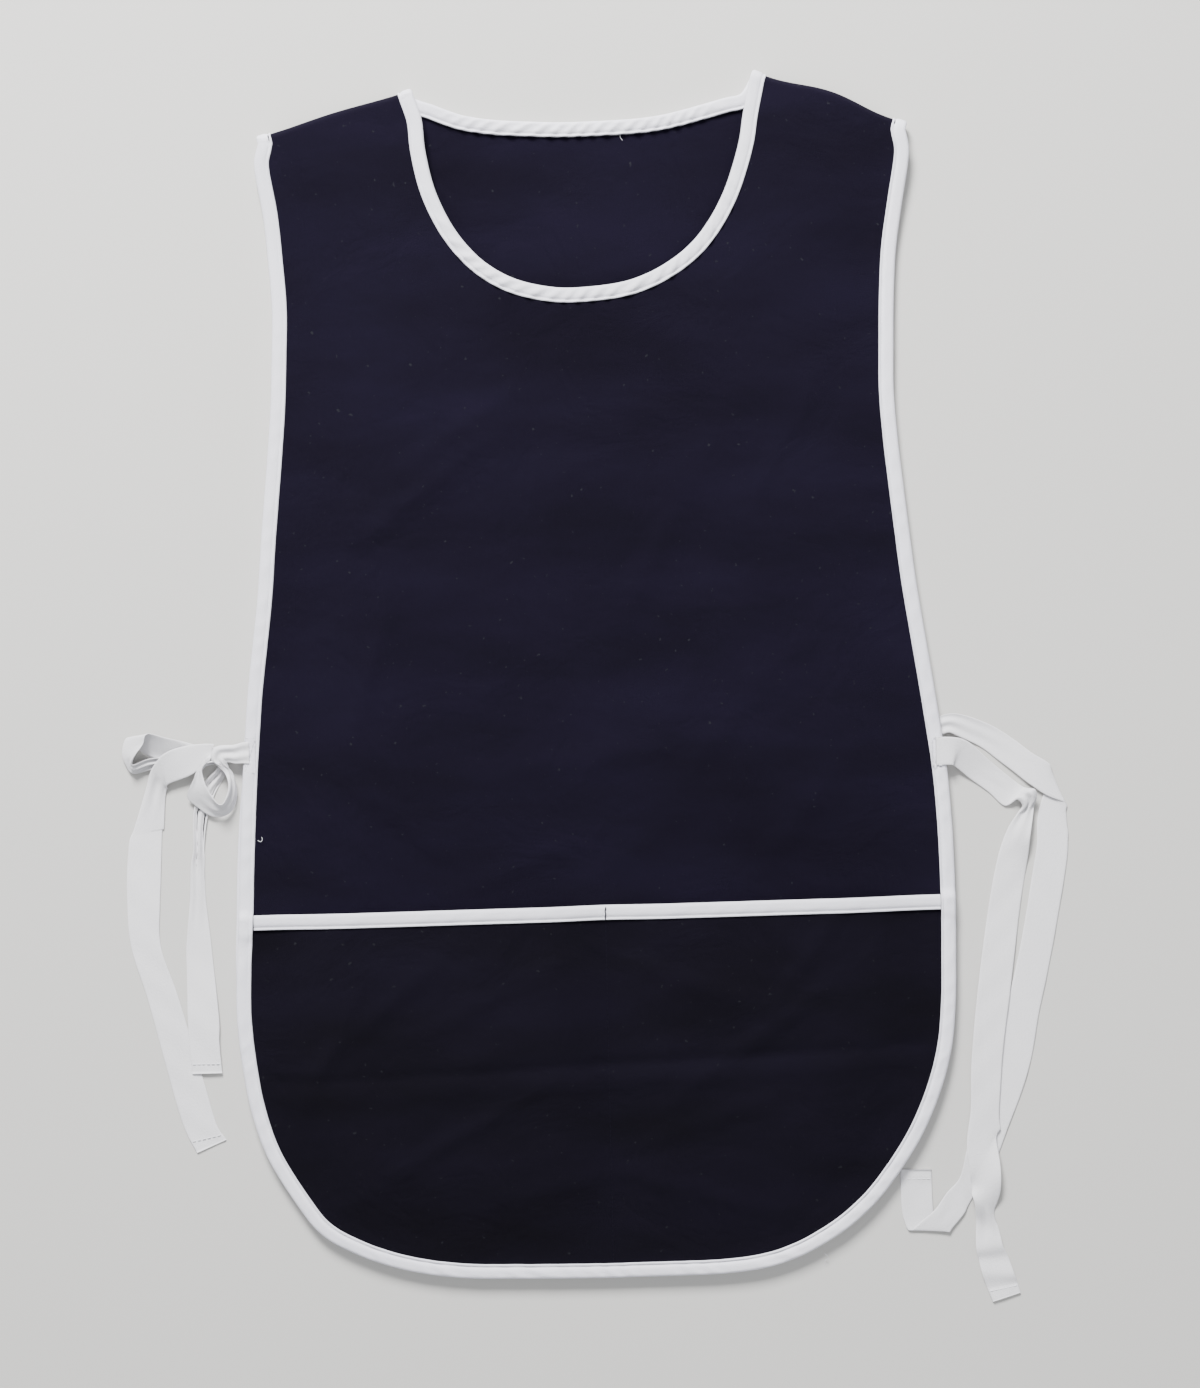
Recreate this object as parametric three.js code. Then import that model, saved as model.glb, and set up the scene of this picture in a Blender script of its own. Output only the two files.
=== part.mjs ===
import * as THREE from 'three';

// A cobbler apron lying flat, in millimetres: +X to its right, +Y to its neck, +Z up from the surface below it.
// The origin is at the middle of the body, on that surface. The neck and the pocket's seam each lie a little aside.
const BODY_LENGTH = 762;
const BODY_WIDTH = 452;
const NECK_WIDTH = 216;
const NECK_DEPTH = 131.7;
const BACK_NECK_DEPTH = 24.8;
const POCKET_DEPTH = 238;
const POCKET_GAPE = 7.4;
const CHEST_RISE = 4.1;
const CLOTH = 1.0;
const BINDING_WALL = 1.0;
const BINDING_WIDTH = 9.5;
const CLEARANCE = 0.3;
const MIDDLE_SHIFT = -7;
const SEAM_SHIFT = 6.5;
const TIE_LENGTH = 400;
const TIE_WIDTH = 20;
const TIE_TAPE = 1.0;
const CLOTH_SETBACK = 2.5;
const FOLD_ROUND = 0.8;
const LEAST_MITRE = 0.5;
const TIE_GAPS_BESIDE = 1.5;

const HALF_LENGTH = BODY_LENGTH / 2;
const HALF_WIDTH = BODY_WIDTH / 2;
const HALF_NECK = NECK_WIDTH / 2;

// Binding is folded over the cloth's edge. The cloth stops short of the binding's own fold.
const BINDING_HALF = CLOTH / 2 + CLEARANCE + BINDING_WALL;
const CLOTH_INSET = BINDING_WALL + CLEARANCE;
const RIM_INSET = BINDING_WIDTH + CLOTH_SETBACK;

// Heights of the middle of each cloth layer.
const BACK_REST = CLOTH / 2;
const BACK_EDGE = BINDING_HALF;
const FRONT_EDGE = BACK_EDGE + 2 * BINDING_HALF + CLEARANCE;
const CHEST = FRONT_EDGE + CHEST_RISE;
const FOLD_RADIUS = (CHEST - BACK_EDGE) / 2;
const FOLD_HEIGHT = (CHEST + BACK_EDGE) / 2;
const SHOULDER_FALL = 80;
const CROWN_REACH = 70;
const CREASE_FADE = 24;

// The front settles again where the pocket lies on it.
const POCKET_SETTLE = 0.7;
const SETTLE_REACH = 80;
const MOUTH = POCKET_DEPTH - HALF_LENGTH;
const MOUTH_SLOPE = 0.009;
const POCKET_LIFT = CLOTH + CLEARANCE;
const MOUTH_LIFT = CLOTH / 2 + CLEARANCE + BINDING_HALF;
const GAPE_SIDE = 38;
const GAPE_HEM = 60;

// Side edges from the shoulder tips down to the hem corners.
// up is a share of half the body length, left and right are shares of half the body width.
const SIDE_EDGE = [
  { up: 0.916, left: 0.904, right: 0.927 },
  { up: 0.866, left: 0.911, right: 0.93 },
  { up: 0.787, left: 0.891, right: 0.909 },
  { up: 0.709, left: 0.88, right: 0.889 },
  { up: 0.63, left: 0.872, right: 0.88 },
  { up: 0.551, left: 0.876, right: 0.876 },
  { up: 0.472, left: 0.882, right: 0.874 },
  { up: 0.394, left: 0.893, right: 0.882 },
  { up: 0.315, left: 0.906, right: 0.895 },
  { up: 0.236, left: 0.919, right: 0.909 },
  { up: 0.157, left: 0.93, right: 0.924 },
  { up: 0.079, left: 0.946, right: 0.943 },
  { up: 0, left: 0.963, right: 0.963 },
  { up: -0.079, left: 0.975, right: 0.982 },
  { up: -0.157, left: 0.985, right: 0.999 },
  { up: -0.236, left: 0.993, right: 1.009 },
  { up: -0.315, left: 1, right: 1.014 },
  { up: -0.394, left: 1.005, right: 1.015 },
  { up: -0.472, left: 1.013, right: 1.013 },
  { up: -0.551, left: 1.015, right: 1.009 },
  { up: -0.63, left: 1.003, right: 0.994 },
  { up: -0.709, left: 0.98, right: 0.955 },
  { up: -0.787, left: 0.936, right: 0.892 },
  { up: -0.866, left: 0.857, right: 0.797 },
  { up: -0.914, left: 0.794, right: 0.714 },
];

// The hem from both corners to the middle, in the same shares.
const HEM = [
  { left: 0.711, leftUp: -0.9449, right: 0.639, rightUp: -0.9446 },
  { left: 0.606, leftUp: -0.9698, right: 0.553, rightUp: -0.9706 },
  { left: 0.496, leftUp: -0.9856, right: 0.455, rightUp: -0.9882 },
  { left: 0.376, leftUp: -0.9942, right: 0.336, rightUp: -0.996 },
  { left: 0.25, leftUp: -0.9965, right: 0.208, rightUp: -0.9975 },
  { left: 0.133, leftUp: -0.9978, right: 0.088, rightUp: -0.998 },
];
const HEM_MIDDLE = -0.9985;

// Ends of the shoulder fold at the neck, and how far the fold bows up between neck and tip.
const NECK_POINT = { left: 0.969, leftUp: 0.9905, right: 1.034, rightUp: 1.0094 };
const SHOULDER_BOW = { left: 1, right: 4 };

// Neck edges from the shoulder to the middle: down is a share of the neck's depth, left and right of half its width.
const FRONT_NECK = [
  { down: 0.175, left: 0.914, right: 0.975 },
  { down: 0.311, left: 0.899, right: 0.947 },
  { down: 0.463, left: 0.863, right: 0.892 },
  { down: 0.577, left: 0.815, right: 0.836 },
  { down: 0.691, left: 0.745, right: 0.757 },
  { down: 0.79, left: 0.657, right: 0.661 },
  { down: 0.873, left: 0.552, right: 0.537 },
  { down: 0.942, left: 0.412, right: 0.38 },
  { down: 0.983, left: 0.25, right: 0.204 },
];
const BACK_NECK = [
  { down: 0.37, left: 0.925, right: 0.968 },
  { down: 0.46, left: 0.86, right: 0.88 },
  { down: 0.62, left: 0.77, right: 0.74 },
  { down: 0.78, left: 0.66, right: 0.595 },
  { down: 0.9, left: 0.49, right: 0.45 },
  { down: 0.965, left: 0.28, right: 0.27 },
];

// Soft creases pressed into the front: place in shares of the half sizes, angle from +X in degrees, the rest in mm.
const CREASES = [
  { across: 0.05, up: -0.14, angle: 4, length: 320, width: 34, rise: 0.6 },
  { across: -0.42, up: 0.36, angle: 38, length: 150, width: 30, rise: 0.7 },
  { across: 0.35, up: 0.05, angle: 52, length: 190, width: 32, rise: 0.6 },
  { across: -0.3, up: -0.62, angle: 35, length: 150, width: 30, rise: 0.6 },
  { across: 0.42, up: -0.7, angle: -32, length: 150, width: 30, rise: 0.6 },
  { across: 0, up: -0.5, angle: -4, length: 400, width: 30, rise: 0.7 },
];

// Tapes of the four ties, row by row from the root. x and y are the middle of the tape from its root, as shares of
// its length. rise is its height as a share of its width, perch the share of the root's own height that is added.
// across is the direction from one edge to the other in degrees, span the width seen along it, tilt its slope.
const TIE_COLUMNS = ['x', 'y', 'rise', 'perch', 'across', 'span', 'tilt'];
const RIGHT_FRONT_TIE = [
  [0, 0, 0, 1, 90, 0.89, 0],
  [0.0255, -0.0005, 0, 1, 90, 0.89, 0],
  [0.043, -0.0065, 0, 0.6, 54, 0.89, 0],
  [0.0715, -0.031, 0, 0.12, 44, 0.85, 0],
  [0.1, -0.054, 0, 0, 41, 0.81, 0],
  [0.125, -0.075, 0.03, 0, 44, 0.85, 0],
  [0.1415, -0.072, 0.3, 0, 32, 0.67, 16],
  [0.149, -0.0845, 0.25, 0, 30, 0.55, 10],
  [0.1425, -0.0985, 0.12, 0, 20, 0.58, 8],
  [0.13, -0.135, 0.14, 0, -8, 0.78, 18],
  [0.119, -0.184, 0.02, 0, 3, 0.99, 0],
  [0.105, -0.259, 0, 0, 7, 1.04, 0],
  [0.0865, -0.383, 0.075, 0, -1, 1.04, 0],
  [0.073, -0.489, 0.09, 0, 8, 1, 0],
  [0.067, -0.584, 0.085, 0, -8, 0.93, 0],
  [0.063, -0.644, 0.09, 0, 50, 1.36, 0],
  [0.067, -0.6895, 0.09, 0, 21, 1, 0],
  [0.063, -0.7275, 0.09, 0, -28, 0.8, 0],
  [0.068, -0.76, 0.02, 0, -18, 0.77, 0],
  [0.07, -0.792, 0, 0, 5, 0.86, 0],
  [0.083, -0.836, 0, 0, -1, 1.03, 0],
  [0.096, -0.874, 0, 0, 17, 0.93, 0],
];
const RIGHT_BACK_TIE = [
  [0, 0, 0, 1, 97, 0.6, 0],
  [0.018, 0.0035, 0, 1, 76, 0.64, 0],
  [0.0435, -0.005, 0, 0.5, 58, 0.74, 0],
  [0.075, -0.02, 0, 0, 54, 0.78, 0],
  [0.104, -0.041, 0.01, 0, 49, 0.83, 0],
  [0.1345, -0.065, 0.06, 0, 50, 0.84, 0],
  [0.165, -0.087, 0.09, 0, 78, 0.98, 0],
  [0.184, -0.1, 0.045, 0, 113, 1.18, 0],
  [0.181, -0.124, 0, 0, 133, 0.98, 0],
  [0.176, -0.155, 0, 0, 158, 1, 0],
  [0.175, -0.187, 0, 0, 186, 1, 0],
  [0.17, -0.227, 0, 0, 179, 1.04, 0],
  [0.151, -0.329, 0, 0, 174, 1.02, 0],
  [0.1365, -0.3955, 0, 0, 170, 1.03, 0],
  [0.12, -0.463, 0, 0, 169, 1.06, 0],
  [0.109, -0.526, 0, 0, 161, 1.03, 0],
  [0.0925, -0.581, 0, 0, 161, 1, 0],
  [0.0715, -0.632, 0, 0, 156, 1, 0],
  [0.052, -0.681, 0, 0, 151, 1, 0],
  [0.024, -0.7395, 0, 0, 112, 0.85, 0],
  [0.0065, -0.763, 0.04, 0, 128, 0.86, 0],
  [-0.016, -0.79, 0.08, 0, 140, 0.82, 0],
  [-0.036, -0.805, 0.045, 0, 178, 1.15, 0],
  [-0.05, -0.79, 0, 0, 180, 1, 0],
  [-0.054, -0.766, 0, 0, 179, 1, 0],
  [-0.055, -0.7075, 0, 0, 179, 1, 0],
];
const LEFT_BACK_TIE = [
  [0, 0.0055, 0, 1, 86, 0.6, 0],
  [-0.018, 0.003, 0.055, 0, 90, 0.55, 0],
  [-0.039, 0, 0.055, 0, 90, 0.5, 0],
  [-0.061, 0, 0.075, 0, 92, 0.55, 8],
  [-0.092, 0.0055, 0.14, 0, 88, 0.72, 14],
  [-0.129, 0.0115, 0.305, 0, 82, 1, 31],
  [-0.151, 0.023, 0.34, 0, 52, 0.95, 40],
  [-0.168, 0.034, 0.355, 0, 8, 0.95, 42],
  [-0.175, 0.016, 0.34, 0, 14, 1, 38],
  [-0.179, -0.001, 0.33, 0, 31, 0.8, 47],
  [-0.176, -0.0175, 0.245, 0, 80, 0.5, 59],
  [-0.147, -0.0095, 0.155, 0, 105, 0.4, 35],
  [-0.1085, -0.0085, 0.155, 0, 95, 0.4, 8],
  [-0.069, -0.006, 0.185, 0, 90, 0.45, 0],
  [-0.051, -0.0015, 0.185, 0, 88, 0.5, 0],
  [-0.0465, 0, 0.22, 0, 85, 0.55, 0],
  [-0.051, 0.0005, 0.255, 0, 80, 0.6, 0],
  [-0.057, 0.001, 0.255, 0, 66, 0.8, 0],
  [-0.0895, -0.007, 0.28, 0, 97, 0.96, 3],
  [-0.121, -0.018, 0.3, 0, 91, 1.03, 12],
  [-0.131, -0.03, 0.24, 0, 113, 0.9, 14],
  [-0.141, -0.052, 0.09, 0, 160, 0.65, 5],
  [-0.154, -0.112, 0.01, 0, 180, 0.95, 0],
  [-0.161, -0.135, 0, 0, 203, 1.18, 0],
  [-0.166, -0.24, 0, 0, 180, 1.04, 0],
  [-0.163, -0.3045, 0, 0, 180, 0.95, 0],
  [-0.1395, -0.381, 0, 0, 188, 0.96, 0],
  [-0.121, -0.45, 0, 0, 189, 1, 0],
  [-0.102, -0.522, 0, 0, 189, 1.04, 0],
  [-0.084, -0.588, 0, 0, 180, 1.06, 0],
  [-0.066, -0.623, 0, 0, 203, 1.02, 0],
];
const LEFT_FRONT_TIE = [
  [0.0105, 0.004, 0, 1, 90, 0.7, 0],
  [-0.001, 0.004, 0, 1, 90, 0.66, 0],
  [-0.012, 0.0025, 0.015, 1, 90, 0.6, 0],
  [-0.023, 0.0035, 0.415, 0, 90, 0.55, 0],
  [-0.035, 0.0015, 0.425, 0, 133, 0.6, 0],
  [-0.037, -0.0095, 0.415, 0, 166, 0.52, 0],
  [-0.023, -0.026, 0.345, 0, 157, 0.35, 45],
  [-0.018, -0.041, 0.32, 0, 158, 0.55, 70],
  [-0.018, -0.061, 0.33, 0, 160, 0.6, 63],
  [-0.0275, -0.0815, 0.33, 0, 139, 0.63, 57],
  [-0.045, -0.084, 0.335, 0, 76, 0.7, 42],
  [-0.0625, -0.07, 0.335, 0, 49, 0.8, 34],
  [-0.076, -0.0515, 0.35, 0, 42, 0.88, 24],
  [-0.072, -0.029, 0.415, 0, 50, 0.56, 12],
  [-0.0585, -0.009, 0.355, 0, 40, 0.35, 8],
  [-0.047, -0.002, 0.34, 0, 70, 0.33, 0],
  [-0.034, -0.004, 0.325, 0, 80, 0.33, 0],
  [-0.028, -0.006, 0.225, 0, 80, 0.33, 0],
  [-0.0325, -0.012, 0.17, 0, 85, 0.33, 0],
  [-0.039, -0.028, 0.1, 0, 140, 0.36, 0],
  [-0.0475, -0.038, 0.02, 0, 160, 0.45, 0],
  [-0.061, -0.058, 0.005, 0, 170, 0.53, 0],
  [-0.0715, -0.095, 0.005, 0, 175, 0.46, 0],
  [-0.0755, -0.147, 0.03, 0, 184, 0.35, 0],
  [-0.0785, -0.177, 0.005, 0, 218, 0.6, 0],
  [-0.08, -0.23, 0.005, 0, 218, 0.67, 0],
  [-0.08, -0.289, 0.005, 0, 208, 0.86, 0],
  [-0.078, -0.337, 0.005, 0, 193, 0.88, 0],
  [-0.074, -0.42, 0.07, 0, 180, 1, 0],
  [-0.0735, -0.4575, 0.07, 0, 180, 0.97, 0],
  [-0.07, -0.506, 0.07, 0, 180, 0.96, 0],
];
const TIE_STEPS = 2;

// Where the ties are sewn on: heights up the side in shares of half the body length.
const LEFT_TIES_UP = -0.1126;
const RIGHT_FRONT_TIE_UP = -0.1315;
const RIGHT_BACK_TIE_UP = -0.0892;
const FRONT_TIE_LAP = 6;

// Rows of the cloth grid: the fold over the shoulder, then down the side to the hem corner.
const FOLD_ROWS = 2;
const ROWS_TO_MOUTH = 18;
const ROWS_TO_CORNER = 8;
const MOUTH_ROW = FOLD_ROWS + ROWS_TO_MOUTH;
const LAST_ROW = MOUTH_ROW + 1 + ROWS_TO_CORNER;
const COLUMNS = HEM.length + 1;
const SIDES = [{ name: 'left', sign: -1 }, { name: 'right', sign: 1 }];

const UP = new THREE.Vector3(0, 0, 1);
const mix = THREE.MathUtils.lerp;
const ease = (value) => THREE.MathUtils.smoothstep(value, 0, 1);
const flat = (x, y, z = 0) => new THREE.Vector3(x, y, z);
const leftOf = (direction) => flat(-direction.y, direction.x);

// Cubic curve through the rows of a table, read at one value of its sloping column.
function sampleTable(rows, key, column, at) {
  const last = rows.length - 2;
  const found = rows.findIndex((row, index) => index > 0 && row[key] <= at);
  const index = found < 0 ? last : found - 1;
  const slopeAt = (row) => {
    const before = rows[Math.max(row - 1, 0)];
    const after = rows[Math.min(row + 1, rows.length - 1)];
    return (after[column] - before[column]) / (after[key] - before[key]);
  };
  const step = rows[index + 1][key] - rows[index][key];
  const t = (at - rows[index][key]) / step;
  const start = rows[index][column] * (1 + 2 * t) * (1 - t) ** 2 + slopeAt(index) * step * t * (1 - t) ** 2;
  const end = rows[index + 1][column] * t * t * (3 - 2 * t) + slopeAt(index + 1) * step * t * t * (t - 1);
  return start + end;
}

// One shoulder fold: its two ends, the direction from tip to neck and the direction out over the fold.
function shoulder(side) {
  const top = SIDE_EDGE[0];
  const tip = flat(side.sign * top[side.name] * HALF_WIDTH, top.up * HALF_LENGTH);
  const neck = flat(side.sign * NECK_POINT[side.name] * HALF_NECK, NECK_POINT[`${side.name}Up`] * HALF_LENGTH);
  const along = neck.clone().sub(tip).normalize();
  const out = leftOf(along).multiplyScalar(-side.sign);
  return { tip, neck, along, out, length: neck.distanceTo(tip), bow: SHOULDER_BOW[side.name] };
}

// A point of the cloth's middle on the fold, a distance from the tip, with the fold turned by an angle.
function foldPoint(fold, distance, angle) {
  const free = (distance - RIM_INSET) / (fold.length - 2 * RIM_INSET);
  const bow = fold.bow * Math.sin(Math.PI * THREE.MathUtils.clamp(free, 0, 1)) ** 2;
  const point = fold.tip.clone().addScaledVector(fold.along, distance);
  point.addScaledVector(fold.out, bow + FOLD_RADIUS * (Math.cos(angle) - 1));
  point.z = FOLD_HEIGHT + FOLD_RADIUS * Math.sin(angle);
  return point;
}

const foldNormal = (fold, angle) => fold.out.clone().multiplyScalar(Math.cos(angle)).setZ(Math.sin(angle));

// Stations of an edge: a point on the binding's own fold, the way into the cloth and the way up off it.
function edgeStations(points, startWay, endWay, clothSide) {
  return points.map((point, index) => {
    const before = points[index - 1];
    const after = points[index + 1];
    const into = before ? point.clone().sub(before).setZ(0).normalize() : startWay.clone();
    const onward = after ? after.clone().sub(point).setZ(0).normalize() : endWay.clone();
    const way = before && after ? into.add(onward).normalize() : (before ? endWay.clone() : startWay.clone());
    const stretch = before && after ? 1 / Math.max(way.dot(onward), LEAST_MITRE) : 1;
    return { point, inward: leftOf(way).multiplyScalar(clothSide * stretch), up: UP.clone() };
  });
}

const shoulderLift = (y) => 1 - ease((SIDE_EDGE[0].up * HALF_LENGTH - y) / SHOULDER_FALL);
const frontEdgeHeight = (y) => FRONT_EDGE + CHEST_RISE * shoulderLift(y);
const mouthAt = (x) => MOUTH + MOUTH_SLOPE * x;

// Plan line of one side edge: the fold's foot, evenly down to the pocket mouth, its binding's depth, then the corner.
function sidePoints(side) {
  const fold = shoulder(side);
  const foot = foldPoint(fold, 0, Math.PI / 2);
  const outAt = (y) => side.sign * sampleTable(SIDE_EDGE, 'up', side.name, y / HALF_LENGTH) * HALF_WIDTH;
  const place = (y) => flat(outAt(y), y);
  const mouth = mouthAt(outAt(MOUTH)) - CLOTH_INSET;
  const below = mouth - (RIM_INSET - CLOTH_INSET);
  const corner = SIDE_EDGE[SIDE_EDGE.length - 1].up * HALF_LENGTH;
  const points = [foot];
  for (let step = 1; step < ROWS_TO_MOUTH; step += 1) {
    points.push(place(mix(foot.y, mouth, step / ROWS_TO_MOUTH)));
  }
  points.push(place(mouth));
  for (let step = 0; step <= ROWS_TO_CORNER; step += 1) {
    points.push(place(mix(below, corner, step / ROWS_TO_CORNER)));
  }
  return points;
}

const hemPoint = (side, row) => flat(
  side.sign * row[side.name] * HALF_WIDTH,
  row[`${side.name}Up`] * HALF_LENGTH,
);

// Outline of a panel from the left shoulder down, round the hem and up to the right shoulder.
function outlineStations() {
  const [left, right] = SIDES;
  const points = [
    ...sidePoints(left),
    ...HEM.map((row) => hemPoint(left, row)),
    flat(SEAM_SHIFT, HEM_MIDDLE * HALF_LENGTH),
    ...HEM.map((row) => hemPoint(right, row)).reverse(),
    ...sidePoints(right).reverse(),
  ];
  const stations = edgeStations(points, shoulder(left).out.negate(), shoulder(right).out, 1);
  stations[0].inward = shoulder(left).along;
  stations[stations.length - 1].inward = shoulder(right).along;
  return stations;
}

// Neck edge of a panel from the left shoulder down and up again to the right shoulder.
function neckStations(table, depth) {
  const [left, right] = SIDES;
  const top = (NECK_POINT.leftUp + NECK_POINT.rightUp) / 2 * HALF_LENGTH;
  const foot = (side) => foldPoint(shoulder(side), shoulder(side).length, Math.PI / 2);
  const place = (side) => (row) => flat(side.sign * row[side.name] * HALF_NECK, top - row.down * depth);
  const points = [
    foot(left),
    ...table.map(place(left)),
    flat(MIDDLE_SHIFT, top - depth),
    ...table.map(place(right)).reverse(),
    foot(right),
  ];
  const stations = edgeStations(points, shoulder(left).out.negate(), shoulder(right).out, -1);
  stations[0].inward = shoulder(left).along.negate();
  stations[stations.length - 1].inward = shoulder(right).along.negate();
  return stations;
}

const insetPoint = (station, inset) => station.point.clone().addScaledVector(station.inward, inset);

function setHeights(stations, heightAt) {
  stations.forEach((station) => {
    station.point.z = heightAt(station.point.y);
  });
  return stations;
}

const frontOutline = setHeights(outlineStations(), frontEdgeHeight);
const backOutline = setHeights(outlineStations(), () => BACK_EDGE);
const frontNeck = setHeights(neckStations(FRONT_NECK, NECK_DEPTH), () => CHEST);
const backNeck = setHeights(neckStations(BACK_NECK, BACK_NECK_DEPTH), () => BACK_EDGE);

// Distance in plan from a point to the outline of the sides and hem.
function outlineDistance(x, y) {
  let nearest = Infinity;
  const spot = flat(x, y);
  const span = new THREE.Line3();
  const close = new THREE.Vector3();
  for (let index = 1; index < backOutline.length; index += 1) {
    span.set(backOutline[index - 1].point.clone().setZ(0), backOutline[index].point.clone().setZ(0));
    nearest = Math.min(nearest, span.closestPointToPoint(spot, true, close).distanceTo(spot));
  }
  return nearest;
}

function creaseHeight(x, y) {
  return CREASES.reduce((total, crease) => {
    const turn = THREE.MathUtils.degToRad(crease.angle);
    const dx = x - crease.across * HALF_WIDTH;
    const dy = y - crease.up * HALF_LENGTH;
    const lengthways = (dx * Math.cos(turn) + dy * Math.sin(turn)) / (crease.length / 2);
    const sideways = (dy * Math.cos(turn) - dx * Math.sin(turn)) / (crease.width / 2);
    return total + crease.rise * Math.exp(-(lengthways ** 2) - sideways ** 2);
  }, 0);
}

function frontHeight(x, y) {
  const inside = outlineDistance(x, y) - RIM_INSET;
  const settled = 1 - POCKET_SETTLE * ease((MOUTH + SETTLE_REACH - y) / SETTLE_REACH);
  const crown = ease(inside / CROWN_REACH) * settled;
  const rise = 1 - (1 - crown) * (1 - shoulderLift(y));
  return FRONT_EDGE + CHEST_RISE * rise + creaseHeight(x, y) * ease(inside / CREASE_FADE);
}

// Grid of one half of a panel: rows from the shoulder fold to the hem, columns from the side edge to the middle.
function halfGrid(side, outline, neck, facing, heightAt) {
  const fold = shoulder(side);
  const fromSide = (list) => (side.sign < 0 ? list : [...list].reverse());
  const edge = fromSide(outline);
  const opening = fromSide(neck);
  const neckRow = FOLD_ROWS + (opening.length - 1) / 2;
  const hem = edge.slice(LAST_ROW - FOLD_ROWS + 1, LAST_ROW - FOLD_ROWS + 1 + COLUMNS);
  const scoop = opening[(opening.length - 1) / 2];
  const corner = edge[LAST_ROW - FOLD_ROWS];
  const middleTop = insetPoint(scoop, RIM_INSET);
  const middleHem = insetPoint(hem[COLUMNS - 1], RIM_INSET);
  const vertex = (point) => ({ point, up: UP });
  const gridRow = (place) => Array.from({ length: COLUMNS + 1 }, (_, column) => place(column));
  const rows = [];
  for (let row = 0; row <= FOLD_ROWS; row += 1) {
    const start = Math.asin(CLEARANCE / 2 / FOLD_RADIUS);
    const angle = facing * mix(start, Math.PI / 2, row / FOLD_ROWS);
    rows.push(gridRow((column) => {
      const inner = mix(RIM_INSET, fold.length - RIM_INSET, (column - 1) / (COLUMNS - 2));
      const ends = { 0: CLOTH_INSET, [COLUMNS]: fold.length - CLOTH_INSET };
      const normal = foldNormal(fold, angle).multiplyScalar(facing);
      return { point: foldPoint(fold, ends[column] ?? inner, angle), up: normal };
    }));
  }
  for (let row = FOLD_ROWS + 1; row < LAST_ROW; row += 1) {
    const onNeck = row <= neckRow;
    const station = edge[row - FOLD_ROWS];
    const first = row === LAST_ROW - 1 ? insetPoint(corner, RIM_INSET) : insetPoint(station, RIM_INSET);
    const down = (row - neckRow - 1) / (MOUTH_ROW - neckRow - 1);
    const below = (row - MOUTH_ROW - 1) / (LAST_ROW - 2 - MOUTH_ROW);
    const mouthMiddle = mouthAt(SEAM_SHIFT) - CLOTH_INSET;
    const mouthLow = mouthMiddle - (RIM_INSET - CLOTH_INSET);
    const middleY = row <= MOUTH_ROW ? mix(middleTop.y, mouthMiddle, down) : mix(mouthLow, middleHem.y, below);
    const next = opening[row - FOLD_ROWS];
    const previous = opening[row - FOLD_ROWS - 1];
    let last = flat(mix(middleTop.x, middleHem.x, ease(down)), middleY, middleTop.z);
    if (onNeck && row < neckRow) {
      last = insetPoint(next, RIM_INSET);
    } else if (onNeck) {
      last = insetPoint(next, RIM_INSET).lerp(insetPoint(previous, RIM_INSET), 0.5);
    }
    const end = onNeck ? COLUMNS - 1 : COLUMNS;
    const settle = Math.max(0, (row - MOUTH_ROW) / (LAST_ROW - 1 - MOUTH_ROW)) ** 2;
    rows.push(gridRow((column) => {
      if (column === 0) {
        return vertex(insetPoint(station, CLOTH_INSET));
      }
      if (onNeck && column === COLUMNS) {
        return vertex(insetPoint(next, CLOTH_INSET));
      }
      const share = (column - 1) / (end - 1);
      const point = first.clone().lerp(last, share);
      const low = insetPoint(corner, RIM_INSET).lerp(middleHem, share);
      const wanted = column === 1 ? insetPoint(corner, RIM_INSET) : insetPoint(hem[column - 1], RIM_INSET);
      point.addScaledVector(wanted.sub(low), settle);
      if (row === LAST_ROW - 1) {
        point.z = hem[column - 1].point.z;
      } else if (column > 1 && !(row <= neckRow + 1 && column === end)) {
        point.z = heightAt(point.x, point.y);
      }
      return vertex(point);
    }));
  }
  rows.push(gridRow((column) => vertex(insetPoint(column === 0 ? corner : hem[column - 1], CLOTH_INSET))));
  return rows;
}

// Triangles of a half grid, counter-clockwise seen from above.
function gridFaces(rows, sign) {
  const faces = [];
  for (let row = 1; row < rows.length; row += 1) {
    for (let column = 1; column <= COLUMNS; column += 1) {
      const outerTop = rows[row - 1][column - 1];
      const innerTop = rows[row - 1][column];
      const outerLow = rows[row][column - 1];
      const innerLow = rows[row][column];
      const pair = [[outerTop, outerLow, innerTop], [innerTop, outerLow, innerLow]];
      faces.push(...pair.map((face) => (sign < 0 ? face : face.reverse())));
    }
  }
  return faces;
}

// A closed solid from points and triangles, turned so that its faces look outwards.
function solid(points, triangles) {
  const volume = triangles.reduce((total, [a, b, c]) => {
    const cross = points[b].clone().cross(points[c]);
    return total + points[a].dot(cross);
  }, 0);
  const outward = volume < 0 ? triangles.map(([a, b, c]) => [a, c, b]) : triangles;
  const geometry = new THREE.BufferGeometry();
  geometry.setAttribute('position', new THREE.Float32BufferAttribute(points.flatMap((point) => point.toArray()), 3));
  geometry.setIndex(outward.flat());
  return geometry;
}

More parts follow.
